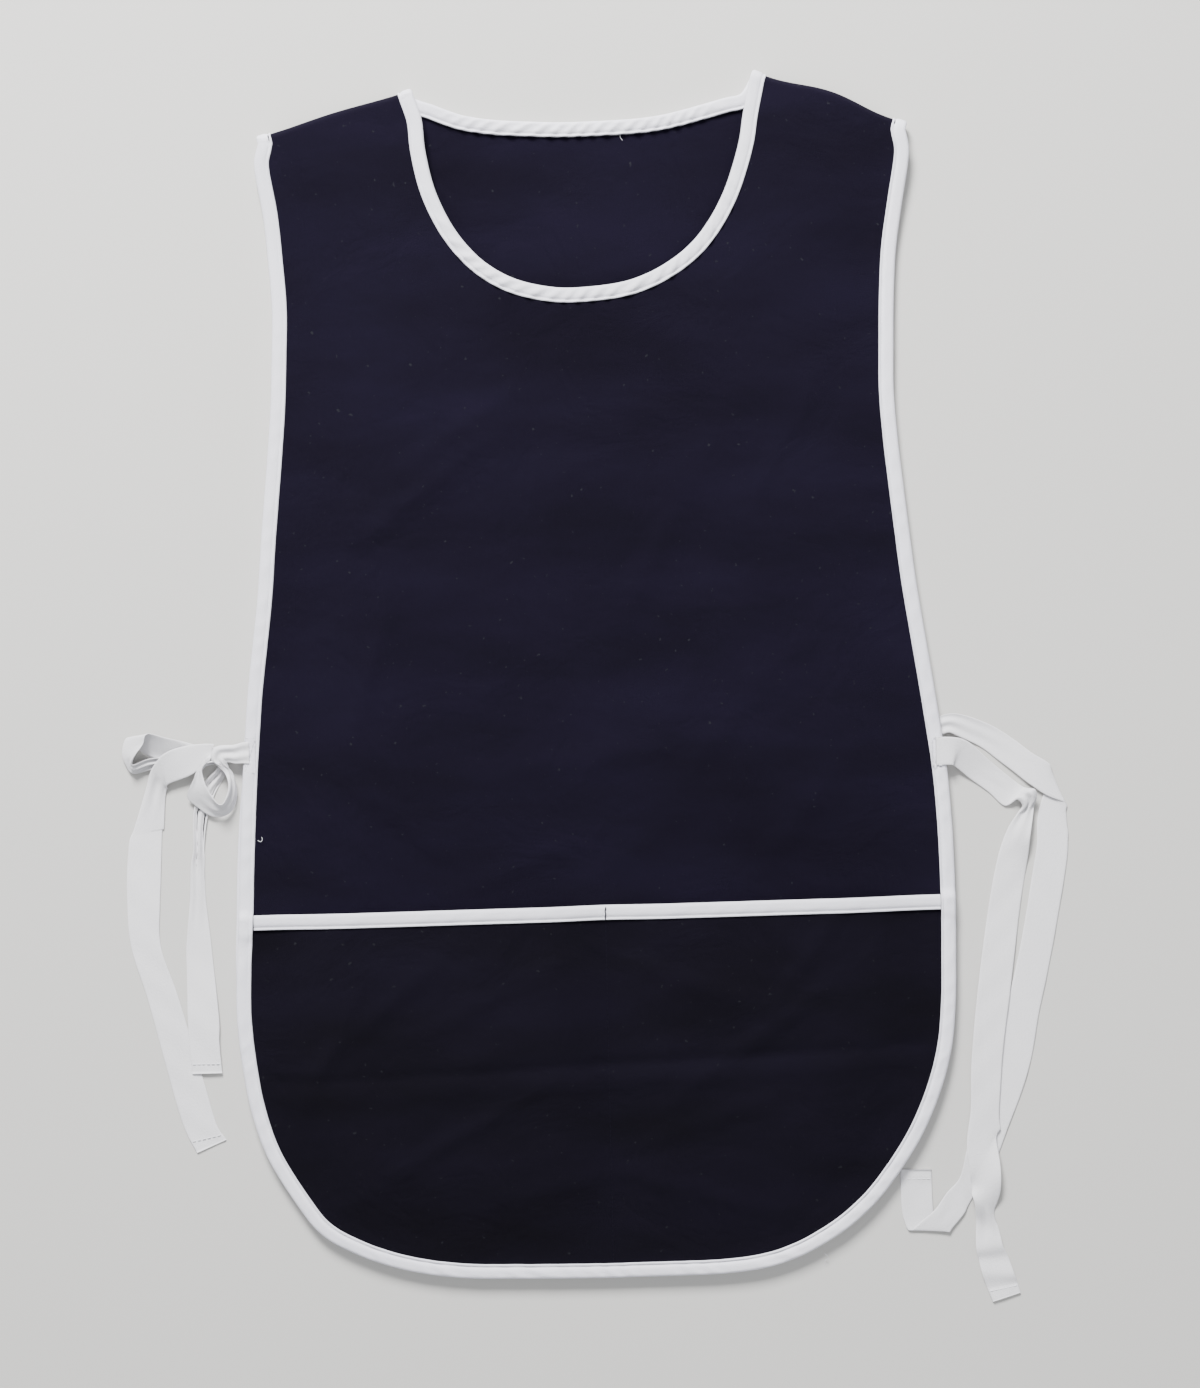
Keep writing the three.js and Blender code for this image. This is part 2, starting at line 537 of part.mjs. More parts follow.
// A cloth layer from its middle surface: both faces, and a wall along every edge that only one triangle has.
function clothSolid(faces) {
  const found = new Map();
  const points = [];
  const number = (vertex) => {
    const key = vertex.point.toArray().map((value) => value.toFixed(2)).join();
    if (!found.has(key)) {
      found.set(key, found.size);
      points.push(vertex.point.clone().addScaledVector(vertex.up, CLOTH / 2));
      points.push(vertex.point.clone().addScaledVector(vertex.up, -CLOTH / 2));
    }
    return 2 * found.get(key);
  };
  const upper = faces.map((face) => face.map(number));
  const edges = upper.flatMap(([a, b, c]) => [[a, b], [b, c], [c, a]]);
  const paired = new Set(edges.map(([a, b]) => `${b},${a}`));
  const open = edges.filter(([a, b]) => !paired.has(`${a},${b}`));
  const lower = upper.map(([a, b, c]) => [a + 1, c + 1, b + 1]);
  const walls = open.flatMap(([a, b]) => [[b, a, a + 1], [b, a + 1, b + 1]]);
  return solid(points, [...upper, ...lower, ...walls]);
}

// A band swept along stations: each has its own ring of points, and open bands are closed by flat ends.
function sweptSolid(rings, isLoop) {
  const size = rings[0].length;
  const points = rings.flat();
  const triangles = [];
  const steps = isLoop ? rings.length : rings.length - 1;
  for (let step = 0; step < steps; step += 1) {
    const here = step * size;
    const there = ((step + 1) % rings.length) * size;
    for (let index = 0; index < size; index += 1) {
      const next = (index + 1) % size;
      triangles.push([here + index, there + index, here + next], [here + next, there + index, there + next]);
    }
  }
  return { points, triangles, size };
}

// Section of a binding folded over an edge, in distances into the cloth and up off its middle, opened by a lift.
function bindingRing(station, lift = 0) {
  const half = BINDING_HALF;
  const slot = CLOTH / 2 + CLEARANCE;
  const round = BINDING_WALL * FOLD_ROUND;
  const section = [
    [BINDING_WIDTH, -half], [round, -half], [0, -half / 2], [0, half / 2 + lift], [round, half + lift],
    [BINDING_WIDTH, half + lift], [BINDING_WIDTH, slot + lift], [BINDING_WALL, slot + lift],
    [BINDING_WALL, -slot], [BINDING_WIDTH, -slot],
  ];
  return section.map(([inward, up]) => station.point.clone()
    .addScaledVector(station.inward, inward)
    .addScaledVector(station.up, up));
}

// Flat ends of an open binding, as triangles of its ten section points.
const BINDING_END = [[0, 1, 9], [1, 8, 9], [1, 2, 8], [2, 3, 8], [3, 7, 8], [3, 4, 7], [4, 6, 7], [4, 5, 6]];

function bindingLoop(rings) {
  const { points, triangles } = sweptSolid(rings, true);
  return solid(points, triangles);
}

function openBinding(rings) {
  const { points, triangles, size } = sweptSolid(rings, false);
  const far = (rings.length - 1) * size;
  const end = BINDING_END.map(([a, b, c]) => [c + far, b + far, a + far]);
  return solid(points, [...triangles, ...BINDING_END, ...end]);
}

// Stations of a binding round a shoulder fold, from the front layer to the back one.
function foldStations(side, atNeck) {
  const fold = shoulder(side);
  const inward = atNeck ? fold.along.clone().negate() : fold.along;
  return [Math.PI / 4, 0, -Math.PI / 4].map((angle) => ({
    point: foldPoint(fold, atNeck ? fold.length : 0, angle),
    inward,
    up: foldNormal(fold, angle),
  }));
}

const turnedOver = (stations) => stations.map((station) => ({ ...station, up: UP.clone().negate() })).reverse();

function loopRings(front, back, atNeck, lifts = []) {
  const [left, right] = SIDES;
  return [
    ...front.map((station, index) => bindingRing(station, lifts[index])),
    ...foldStations(right, atNeck).map((station) => bindingRing(station)),
    ...turnedOver(back).map((station) => bindingRing(station)),
    ...foldStations(left, atNeck).reverse().map((station) => bindingRing(station)),
  ];
}

// How far the pocket's middle lies over the front's at the side edge, row by row.
function rimLift(row) {
  if (row < MOUTH_ROW) {
    return 0;
  }
  return row <= MOUTH_ROW + 1 ? MOUTH_LIFT : POCKET_LIFT;
}

function outlineLifts(stations) {
  const last = stations.length - 1;
  return stations.map((_, index) => rimLift(Math.min(index, last - index) + FOLD_ROWS));
}

// The pocket lies over the lower front and stands open between its side edges and its middle seam.
function pocketGrid(frontRows) {
  const low = frontRows[MOUTH_ROW + 1];
  return frontRows.slice(MOUTH_ROW).map((cells, index) => cells.map((cell, column) => {
    const under = index === 0 ? low[column].point : cell.point;
    const lift = rimLift(MOUTH_ROW + index);
    const hem = cells[COLUMNS].point.y + HALF_LENGTH;
    const side = Math.abs(cell.point.x - cells[1].point.x) * (column > 1);
    const ramp = ease(side / GAPE_SIDE) * ease(Math.abs(cell.point.x - SEAM_SHIFT) / GAPE_SIDE)
      * ease((hem - RIM_INSET) / GAPE_HEM);
    return { point: cell.point.clone().setZ(under.z + mix(lift, POCKET_GAPE, ramp)), up: UP };
  }));
}

// Stations of the mouth's binding: one on each column of the pocket, and an end clear of each side binding.
function mouthStations(pocketRows) {
  const [top, low] = pocketRows;
  const depth = RIM_INSET - CLOTH_INSET;
  const station = (upper, lower) => {
    const inward = lower.clone().sub(upper).divideScalar(depth);
    return { point: upper.clone().addScaledVector(inward, -CLOTH_INSET), inward, up: UP };
  };
  const share = (BINDING_WIDTH + CLEARANCE - CLOTH_INSET) / depth;
  const between = (row) => row[0].point.clone().lerp(row[1].point, share);
  return [
    station(between(top), between(low)),
    ...top.slice(1).map((cell, index) => station(cell.point, low[index + 1].point)),
  ];
}

const frontGrids = SIDES.map((side) => halfGrid(side, frontOutline, frontNeck, 1, frontHeight));
const backGrids = SIDES.map((side) => halfGrid(side, backOutline, backNeck, -1, () => BACK_REST));
const pocketGrids = frontGrids.map((rows) => pocketGrid(rows));
const facesOf = (grids) => grids.flatMap((rows, index) => gridFaces(rows, SIDES[index].sign));
const [leftMouth, rightMouth] = pocketGrids.map((rows) => mouthStations(rows));
const mouth = [...leftMouth, ...rightMouth.slice(0, -1).reverse()];

// Stations of a tie between the rows of its table, eased through them.
function tieStations(table, root) {
  const columns = TIE_COLUMNS.map((_, column) => table.map((row) => row[column]));
  const valueAt = (values, place) => {
    const index = Math.min(Math.floor(place), values.length - 2);
    const at = (offset) => values[THREE.MathUtils.clamp(index + offset, 0, values.length - 1)];
    const t = place - index;
    const startSlope = (at(1) - at(-1)) / 2;
    const endSlope = (at(2) - at(0)) / 2;
    return at(0) * (1 + 2 * t) * (1 - t) ** 2 + startSlope * t * (1 - t) ** 2
      + at(1) * t * t * (3 - 2 * t) + endSlope * t * t * (t - 1);
  };
  const count = (table.length - 1) * TIE_STEPS + 1;
  return Array.from({ length: count }, (_, step) => {
    const values = columns.map((column) => valueAt(column, step / TIE_STEPS));
    const [x, y, rise, perch, across, span, tilt] = values;
    const low = TIE_TAPE / 2;
    const turn = THREE.MathUtils.degToRad(across);
    const slope = THREE.MathUtils.degToRad(tilt);
    const half = span * TIE_WIDTH / 2;
    return {
      point: flat(root.x + x * TIE_LENGTH, root.y + y * TIE_LENGTH, low + rise * TIE_WIDTH + perch * (root.z - low)),
      half: flat(Math.cos(turn) * Math.cos(slope), Math.sin(turn) * Math.cos(slope), Math.sin(slope))
        .multiplyScalar(half),
    };
  });
}

// The tape's section turns with its path, so that it keeps its thickness round each fold.
function tieSolid(table, root) {
  const stations = tieStations(table, root);
  const rings = stations.map(({ point, half }, index) => {
    const before = stations[Math.max(index - 1, 0)].point;
    const after = stations[Math.min(index + 1, stations.length - 1)].point;
    const off = after.clone().sub(before).cross(half).normalize().multiplyScalar(TIE_TAPE / 2);
    const corner = (edge, face) => point.clone().addScaledVector(half, edge).addScaledVector(off, face);
    return [corner(1, 1), corner(-1, 1), corner(-1, -1), corner(1, -1)];
  });
  const { points, triangles, size } = sweptSolid(rings, false);
  const far = (rings.length - 1) * size;
  const near = [[0, 1, 2], [0, 2, 3]];
  const end = near.map(([a, b, c]) => [c + far, b + far, a + far]);
  return solid(points, [...triangles, ...near, ...end]);
}

function tieRoot(side, up, inside, height) {
  const out = sampleTable(SIDE_EDGE, 'up', side.name, up) * HALF_WIDTH - inside;
  return flat(side.sign * out, up * HALF_LENGTH, height);
}

const OVER_EDGE = FRONT_EDGE + BINDING_HALF + CLEARANCE + TIE_TAPE / 2;
const BESIDE_EDGE = -TIE_GAPS_BESIDE * CLEARANCE;
const [leftSide, rightSide] = SIDES;
const leftBackRoot = tieRoot(leftSide, LEFT_TIES_UP, BESIDE_EDGE, BACK_EDGE);
const leftFrontRoot = tieRoot(leftSide, LEFT_TIES_UP, BESIDE_EDGE, OVER_EDGE);
const rightBackRoot = tieRoot(rightSide, RIGHT_BACK_TIE_UP, BESIDE_EDGE, BACK_EDGE);
const rightFrontRoot = tieRoot(rightSide, RIGHT_FRONT_TIE_UP, FRONT_TIE_LAP, OVER_EDGE);

const navy = { color: 0x1a1827, roughness: 0.92, metalness: 0 };
const white = { color: 0xdadae0, roughness: 0.85, metalness: 0 };

function piece(name, geometry, finish) {
  geometry.computeVertexNormals();
  const mesh = new THREE.Mesh(geometry, new THREE.MeshStandardMaterial({ ...finish, flatShading: true }));
  mesh.name = name;
  return mesh;
}

const edgeRings = loopRings(frontOutline, backOutline, false, outlineLifts(frontOutline));
const apron = new THREE.Group();
apron.add(piece('back_panel', clothSolid(facesOf(backGrids)), navy));
apron.add(piece('front_panel', clothSolid(facesOf(frontGrids)), navy));
apron.add(piece('pocket', clothSolid(facesOf(pocketGrids)), navy));
apron.add(piece('neck_binding', bindingLoop(loopRings(frontNeck, backNeck, true)), white));
apron.add(piece('edge_binding', bindingLoop(edgeRings), white));
apron.add(piece('pocket_binding', openBinding(mouth.map((station) => bindingRing(station))), white));
apron.add(piece('left_back_tie', tieSolid(LEFT_BACK_TIE, leftBackRoot), white));
apron.add(piece('left_front_tie', tieSolid(LEFT_FRONT_TIE, leftFrontRoot), white));
apron.add(piece('right_back_tie', tieSolid(RIGHT_BACK_TIE, rightBackRoot), white));
apron.add(piece('right_front_tie', tieSolid(RIGHT_FRONT_TIE, rightFrontRoot), white));

export default apron;
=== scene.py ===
import math

import bpy
import numpy as np
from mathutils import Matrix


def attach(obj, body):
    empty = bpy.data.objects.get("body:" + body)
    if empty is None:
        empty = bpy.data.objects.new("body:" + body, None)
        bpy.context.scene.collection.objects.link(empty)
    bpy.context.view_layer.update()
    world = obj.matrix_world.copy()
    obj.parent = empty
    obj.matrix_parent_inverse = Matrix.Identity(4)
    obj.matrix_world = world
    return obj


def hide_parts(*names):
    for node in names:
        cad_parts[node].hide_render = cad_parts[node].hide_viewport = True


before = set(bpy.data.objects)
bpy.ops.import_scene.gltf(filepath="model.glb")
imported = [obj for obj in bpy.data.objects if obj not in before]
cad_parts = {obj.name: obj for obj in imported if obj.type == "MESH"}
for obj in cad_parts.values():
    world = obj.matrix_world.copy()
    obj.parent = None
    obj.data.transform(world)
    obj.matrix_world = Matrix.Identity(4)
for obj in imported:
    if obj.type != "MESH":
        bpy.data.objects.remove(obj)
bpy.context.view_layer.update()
MM = 0.001

# A pale, faintly warm table top that runs on past the picture, lit by one big soft window beyond the neck
# and a little to the left. The camera looks straight down, turned slightly, as the photograph was taken.
camera_data = bpy.data.cameras.new("overhead")
camera_data.lens = 65.3
camera = bpy.data.objects.new("overhead", camera_data)
camera.location = (0.0062, -0.0090, 1.608)
camera.rotation_euler = (0, 0, math.radians(-1.3))
bpy.context.collection.objects.link(camera)
bpy.context.scene.camera = camera

world = bpy.data.worlds.new("room light")
world.use_nodes = True
world.node_tree.nodes["Background"].inputs["Color"].default_value = (0.93, 0.96, 1.0, 1)
world.node_tree.nodes["Background"].inputs["Strength"].default_value = 0.60
bpy.context.scene.world = world


def soft_light(name, place, size, power, aim=(0, 0, 0)):
    """A square area light of one size, set at a place and turned to face a point."""
    data = bpy.data.lights.new(name, "AREA")
    data.size = size
    data.energy = power
    lamp = bpy.data.objects.new(name, data)
    lamp.location = place
    way = np.array(aim, float) - np.array(place, float)
    lamp.rotation_euler = (math.atan2(math.hypot(way[0], way[1]), -way[2]), 0, math.atan2(-way[0], way[1]))
    bpy.context.collection.objects.link(lamp)
    return lamp


soft_light("window", (-0.5, 1.95, 1.7), 0.85, 220)
soft_light("bounce", (0.5, -1.2, 2.6), 2.5, 18)


def plain_material(name, colour, roughness):
    """A Principled material with one base colour and roughness, and the tree's nodes to build on."""
    material = bpy.data.materials.new(name)
    material.use_nodes = True
    shader = material.node_tree.nodes["Principled BSDF"]
    shader.inputs["Base Color"].default_value = (*colour, 1)
    shader.inputs["Roughness"].default_value = roughness
    shader.inputs["Metallic"].default_value = 0
    return material, shader


def add_node(tree, kind, **values):
    """Adds a shader node and sets its plain properties by name."""
    node = tree.nodes.new(kind)
    for key, value in values.items():
        setattr(node, key, value)
    return node


def mesh_piece(name, points, faces, uv, material):
    """One mesh object from arrays: points (n, 3), quads (m, 4) and a UV pair in metres for each point.

    The quads are turned round where their summed volume under the origin is negative, so that they face out.
    """
    used, faces = np.unique(faces, return_inverse=True)
    points, uv, faces = points[used], uv[used], faces.reshape(-1, 4)
    corner = points[faces]
    cross = np.cross(corner[:, 2] - corner[:, 0], corner[:, 3] - corner[:, 1])
    if np.sum(corner.mean(axis=1) * cross) < 0:
        faces = faces[:, ::-1]
    mesh = bpy.data.meshes.new(name)
    mesh.vertices.add(len(points))
    mesh.vertices.foreach_set("co", points.astype(np.float32).ravel())
    mesh.loops.add(faces.size)
    mesh.loops.foreach_set("vertex_index", faces.astype(np.int32).ravel())
    mesh.polygons.add(len(faces))
    mesh.polygons.foreach_set("loop_start", np.arange(len(faces), dtype=np.int32) * 4)
    mesh.polygons.foreach_set("use_smooth", np.ones(len(faces), dtype=bool))
    mesh.update(calc_edges=True)
    layer = mesh.uv_layers.new(name="Cloth")
    layer.data.foreach_set("uv", uv[faces.ravel()].astype(np.float32).ravel())
    mesh.materials.append(material)
    piece = bpy.data.objects.new(name, mesh)
    bpy.context.collection.objects.link(piece)
    return piece


def quads(index, loop_rows=False, loop_columns=False):
    """Quads between neighbouring numbers of a grid of point numbers, closed round either way where asked."""
    if loop_rows:
        index = np.vstack([index, index[:1]])
    if loop_columns:
        index = np.hstack([index, index[:, :1]])
    corner = index[:-1, :-1], index[1:, :-1], index[1:, 1:], index[:-1, 1:]
    return np.stack(corner, axis=-1).reshape(-1, 4)


def noise(tree, vector, scale, detail, distortion=0.0):
    """The factor of a noise texture laid over a vector."""
    node = add_node(tree, "ShaderNodeTexNoise")
    node.inputs["Scale"].default_value = scale
    node.inputs["Detail"].default_value = detail
    node.inputs["Distortion"].default_value = distortion
    tree.links.new(vector, node.inputs["Vector"])
    return node.outputs["Fac"]


FLOOR_REACH = 40
FLOOR_TOP = -0.3 * MM
floor_material, floor_shader = plain_material("pale table top", (0.78, 0.755, 0.72), 0.75)
tree = floor_material.node_tree
place = add_node(tree, "ShaderNodeTexCoord")
blend = add_node(tree, "ShaderNodeMix", data_type="RGBA")
blend.inputs["A"].default_value = (0.54, 0.53, 0.505, 1)
blend.inputs["B"].default_value = (0.57, 0.56, 0.54, 1)
tree.links.new(noise(tree, place.outputs["Object"], 1.4, 2), blend.inputs["Factor"])
tree.links.new(blend.outputs["Result"], floor_shader.inputs["Base Color"])
floor_plan = FLOOR_REACH * np.array([[-1.0, -1.0], [1.0, -1.0], [1.0, 1.0], [-1.0, 1.0]])
floor_points = np.column_stack([floor_plan, np.full(4, FLOOR_TOP)])
floor = mesh_piece("table_top", floor_points, np.array([[0, 1, 2, 3]]), floor_plan, floor_material)

# The back panel: navy polyester and cotton cloth, cut with a shallow neck, lying flat on the table.
# Its hem corners are wide curves, its sides draw in at the chest, and at the shoulders it turns over
# in a soft fold to become the front.
HALF_LENGTH = 381 * MM
HALF_WIDTH = 226 * MM
HALF_NECK = 108 * MM
MIDDLE_SHIFT = -7 * MM
SEAM_SHIFT = 6.5 * MM
CLOTH_INSET = 2.2 * MM
BACK_EDGE = 1.8 * MM
BACK_REST = 0.5 * MM
CHEST = 9.8 * MM
FOLD_RADIUS = (CHEST - BACK_EDGE) / 2
FOLD_HEIGHT = (CHEST + BACK_EDGE) / 2
BACK_NECK_DEPTH = 24.8 * MM
NECK_TOP = 381 * MM
CLOTH_THICKNESS = 0.7 * MM
RIM = 12 * MM
STEPS = 12
OUTER_POINTS = 1000

# up, left, right: shares of half the length and half the width, from the shoulder tips to the hem corners.
SIDE_EDGE = np.array([
    [0.916, 0.904, 0.927],
    [0.866, 0.911, 0.93],
    [0.787, 0.891, 0.909],
    [0.709, 0.88, 0.889],
    [0.63, 0.872, 0.88],
    [0.551, 0.876, 0.876],
    [0.472, 0.882, 0.874],
    [0.394, 0.893, 0.882],
    [0.315, 0.906, 0.895],
    [0.236, 0.919, 0.909],
    [0.157, 0.93, 0.924],
    [0.079, 0.946, 0.943],
    [0, 0.963, 0.963],
    [-0.079, 0.975, 0.982],
    [-0.157, 0.985, 0.999],
    [-0.236, 0.993, 1.009],
    [-0.315, 1, 1.014],
    [-0.394, 1.005, 1.015],
    [-0.472, 1.013, 1.013],
    [-0.551, 1.015, 1.009],
    [-0.63, 1.003, 0.994],
    [-0.709, 0.98, 0.955],
    [-0.787, 0.936, 0.892],
    [-0.866, 0.857, 0.797],
    [-0.914, 0.794, 0.714],
])
# left, left up, right, right up: the hem from both corners to the middle.
HEM = np.array([
    [0.711, -0.9449, 0.639, -0.9446],
    [0.606, -0.9698, 0.553, -0.9706],
    [0.496, -0.9856, 0.455, -0.9882],
    [0.376, -0.9942, 0.336, -0.996],
    [0.25, -0.9965, 0.208, -0.9975],
    [0.133, -0.9978, 0.088, -0.998],
])
HEM_MIDDLE = -0.9985
NECK_POINT = {"left": (0.969, 0.9905), "right": (1.034, 1.0094)}
SHOULDER_BOW = {"left": 1.0 * MM, "right": 4.0 * MM}
# down, left, right: the back neck from the shoulder to the middle, as shares of its depth and half its width.
BACK_NECK = np.array([
    [0.37, 0.925, 0.968],
    [0.46, 0.86, 0.88],
    [0.62, 0.77, 0.74],
    [0.78, 0.66, 0.595],
    [0.9, 0.49, 0.45],
    [0.965, 0.28, 0.27],
])


def unit(vectors):
    """Each vector at the length of one."""
    return vectors / np.linalg.norm(vectors, axis=1, keepdims=True)


def at_run(curve, run, at):
    """Points of a curve at lengths of its run."""
    return np.stack([np.interp(at, run, column) for column in curve.T], axis=-1)


def curve_through(points, steps=STEPS):
    """A smooth curve through the points: on each span the cubic whose slope at a point is half the way
    between its two neighbours."""
    points = np.asarray(points, float)
    slope = np.gradient(points, axis=0)
    t = (np.arange(steps) / steps)[None, :, None]
    a, b = points[:-1, None], points[1:, None]
    u, v = slope[:-1, None], slope[1:, None]
    body = (a * (1 + 2 * t) * (1 - t) ** 2 + u * t * (1 - t) ** 2
            + b * t * t * (3 - 2 * t) + v * t * t * (t - 1))
    return np.vstack([body.reshape(-1, points.shape[1]), points[-1:]])


def evenly(curve, shares):
    """Points of a curve at shares of its length in plan, from 0 to 1."""
    run = np.concatenate([[0], np.cumsum(np.linalg.norm(np.diff(curve[:, :2], axis=0), axis=1))])
    return at_run(curve, run, np.asarray(shares) * run[-1])


def plan_length(curve):
    """Length of a curve in plan."""
    return float(np.linalg.norm(np.diff(curve[:, :2], axis=0), axis=1).sum())


def distance_to(points, curve):
    """Shortest distance in plan from each point to a curve's own points, taken in blocks of points."""
    flat = points.reshape(-1, points.shape[-1])[:, :2]
    blocks = np.array_split(flat, max(1, len(flat) // 2000))
    near = [np.linalg.norm(block[:, None] - curve[None, :, :2], axis=2).min(axis=1) for block in blocks]
    return np.concatenate(near).reshape(points.shape[:-1])


def ease(value):
    """Smooth step from 0 to 1: three squares less two cubes of the value."""
    value = np.clip(value, 0, 1)
    return value * value * (3 - 2 * value)


def offset_line(points, distance):
    """The plan curve moved sideways by a distance, to the left of the way it runs."""
    along = np.gradient(points[:, :2], axis=0)
    left = np.stack([-along[:, 1], along[:, 0]], axis=1)
    return points[:, :2] + unit(left) * distance


SIGN = {"left": -1, "right": 1}
SIDE_COLUMN = {"left": 1, "right": 2}
OTHER = {"left": "right", "right": "left"}
SIDE_SPANS = len(SIDE_EDGE) - 1


def shoulder(name):
    """Ends of the shoulder fold, the unit way from its tip to the neck, and the unit way out over it."""
    share, up = NECK_POINT[name]
    tip = np.array([SIGN[name] * SIDE_EDGE[0, SIDE_COLUMN[name]] * HALF_WIDTH, SIDE_EDGE[0, 0] * HALF_LENGTH])
    neck = np.array([SIGN[name] * share * HALF_NECK, up * HALF_LENGTH])
    along = (neck - tip) / np.linalg.norm(neck - tip)
    out = np.array([-along[1], along[0]]) * -SIGN[name]
    return tip, neck, along, out


def fold_line(name, count, inset):
    """Plan of the shoulder fold from tip to neck: straight, bowed up in the middle by a squared sine."""
    tip, neck, along, out = shoulder(name)
    length = np.linalg.norm(neck - tip)
    run = np.linspace(inset, length - inset, count)
    bow = SHOULDER_BOW[name] * np.sin(np.pi * np.clip((run - RIM) / (length - 2 * RIM), 0, 1)) ** 2
    return tip + along * run[:, None] + out * bow[:, None]


def hem_rows(name):
    """The rows of half the hem in metres, from the hem corner towards the middle."""
    column = 0 if name == "left" else 2
    return np.stack([SIGN[name] * HEM[:, column] * HALF_WIDTH, HEM[:, column + 1] * HALF_LENGTH], axis=1)


def half_line(name):
    """Plan of half the outer edge, one smooth curve from the foot of the shoulder fold down the side and
    along the hem to the middle. The other half's last hem row sets the way it runs through the middle."""
    tip, neck, along, out = shoulder(name)
    x = SIGN[name] * SIDE_EDGE[1:, SIDE_COLUMN[name]] * HALF_WIDTH
    rows = np.stack([x, SIDE_EDGE[1:, 0] * HALF_LENGTH], axis=1)
    middle = [SEAM_SHIFT, HEM_MIDDLE * HALF_LENGTH]
    beyond = hem_rows(OTHER[name])[-1]
    return curve_through(np.vstack([tip - out * FOLD_RADIUS, rows, hem_rows(name), middle, beyond]))[:-STEPS]


def side_line(name):
    """The part of the outer edge from the shoulder's foot to the hem corner."""
    return half_line(name)[: SIDE_SPANS * STEPS + 1]


def hem_line(name):
    """The part of the outer edge from the hem corner to the middle."""
    return half_line(name)[SIDE_SPANS * STEPS:]


def neck_line(name, table, depth):
    """Plan of half a neck edge: a smooth curve from the foot of the shoulder fold to the middle, running
    through it towards the nearest row of the other half."""
    tip, neck, along, out = shoulder(name)
    other = OTHER[name]
    x = SIGN[name] * table[:, SIDE_COLUMN[name]] * HALF_NECK
    rows = np.stack([x, NECK_TOP - table[:, 0] * depth], axis=1)
    beyond = [SIGN[other] * table[-1, SIDE_COLUMN[other]] * HALF_NECK, NECK_TOP - table[-1, 0] * depth]
    points = np.vstack([neck - out * FOLD_RADIUS, rows, [MIDDLE_SHIFT, NECK_TOP - depth], beyond])
    return curve_through(points)[:-STEPS]


def under_binding(name):
    """The side edge and half the hem, both moved in to where the cloth ends inside its binding."""
    side = offset_line(side_line(name), -SIGN[name] * CLOTH_INSET)
    hem = offset_line(hem_line(name), -SIGN[name] * CLOTH_INSET)
    hem[0] = side[-1] = (hem[0] + side[-1]) / 2
    hem[-1, 0] = SEAM_SHIFT
    return side, hem


OUTER_LEFT = half_line("left")
OUTER_RIGHT = half_line("right")
OUTER_LINE = evenly(np.vstack([OUTER_LEFT, OUTER_RIGHT[::-1][1:]]), np.linspace(0, 1, OUTER_POINTS))


def coons(first, last, top, bottom, a, b):
    """The Coons patch of four edges: the blend across plus the blend down, less the blend of the corners."""
    corners = ((1 - a) * (1 - b) * top[:, :1] + (1 - a) * b * top[:, -1:]
               + a * (1 - b) * bottom[:, :1] + a * b * bottom[:, -1:])
    return (1 - b) * first + b * last + (1 - a) * top + a * bottom - corners


def thicken(piece):
    """Gives a sheet of cloth its thickness, half to each side."""
    wall = piece.modifiers.new("cloth thickness", "SOLIDIFY")
    wall.thickness = CLOTH_THICKNESS
    wall.offset = 0


def half_plan(name, table, depth, rows_beside, rows_below, columns, share):
    """Plan of half a panel as a grid: the Coons patch between its side edge, its neck edge carried on down
    the middle, the foot of its shoulder fold and its hem, each moved in under its binding."""
    side, hem = under_binding(name)
    neck = offset_line(neck_line(name, table, depth), SIGN[name] * CLOTH_INSET)
    neck[-1, 0] = MIDDLE_SHIFT
    foot = fold_line(name, columns, CLOTH_INSET) - shoulder(name)[3] * FOLD_RADIUS
    side[0], neck[0] = foot[0], foot[-1]
    a = np.concatenate([np.linspace(0, share, rows_beside + 1), np.linspace(share, 1, rows_below + 1)[1:]])
    b = np.linspace(0, 1, columns)
    inner = np.vstack([evenly(neck, a[: rows_beside + 1] / share),
                       evenly(np.array([neck[-1], hem[-1]]), (a[rows_beside + 1:] - share) / (1 - share))])
    outer = evenly(side, a)[:, None]
    inner = inner[:, None]
    hem = evenly(hem, b)[None]
    foot = foot[None]
    a, b = a[:, None, None], b[None, :, None]
    return coons(outer, inner, foot, hem, a, b)


ROWS_BESIDE_NECK = 46
ROWS_BELOW_NECK = 120
HALF_COLUMNS = 52


def panel(name, table, depth, share, facing, height, material):
    """A panel from its two half grids. Each starts with the quarter turn of its shoulder fold and takes its
    heights from one function of the plan. Below the neck the halves share their middle points."""
    columns = HALF_COLUMNS
    angle = facing * np.linspace(0.06, math.pi / 2, 9)[:-1]
    points = []
    for half in SIGN:
        plan = half_plan(half, table, depth, ROWS_BESIDE_NECK, ROWS_BELOW_NECK, columns, share)
        back_off = (FOLD_RADIUS * (np.cos(angle) - 1))[:, None, None]
        top = fold_line(half, columns, CLOTH_INSET)[None] + shoulder(half)[3] * back_off
        high = np.broadcast_to((FOLD_HEIGHT + FOLD_RADIUS * np.sin(angle))[:, None], top.shape[:2])
        flat_part = np.dstack([plan, height(plan)])
        points.append(np.vstack([np.dstack([top, high]), flat_part]))
    rows = points[0].shape[0]
    index = np.arange(2 * rows * columns).reshape(2, rows, columns)
    scoop = len(angle) + ROWS_BESIDE_NECK
    index[1, scoop:, -1] = index[0, scoop:, -1]
    points = np.vstack([half.reshape(-1, 3) for half in points])
    faces = np.vstack([quads(index[0]), quads(index[1])[:, ::-1]])
    piece = mesh_piece(name, points, faces, points[:, :2], material)
    thicken(piece)
    return piece


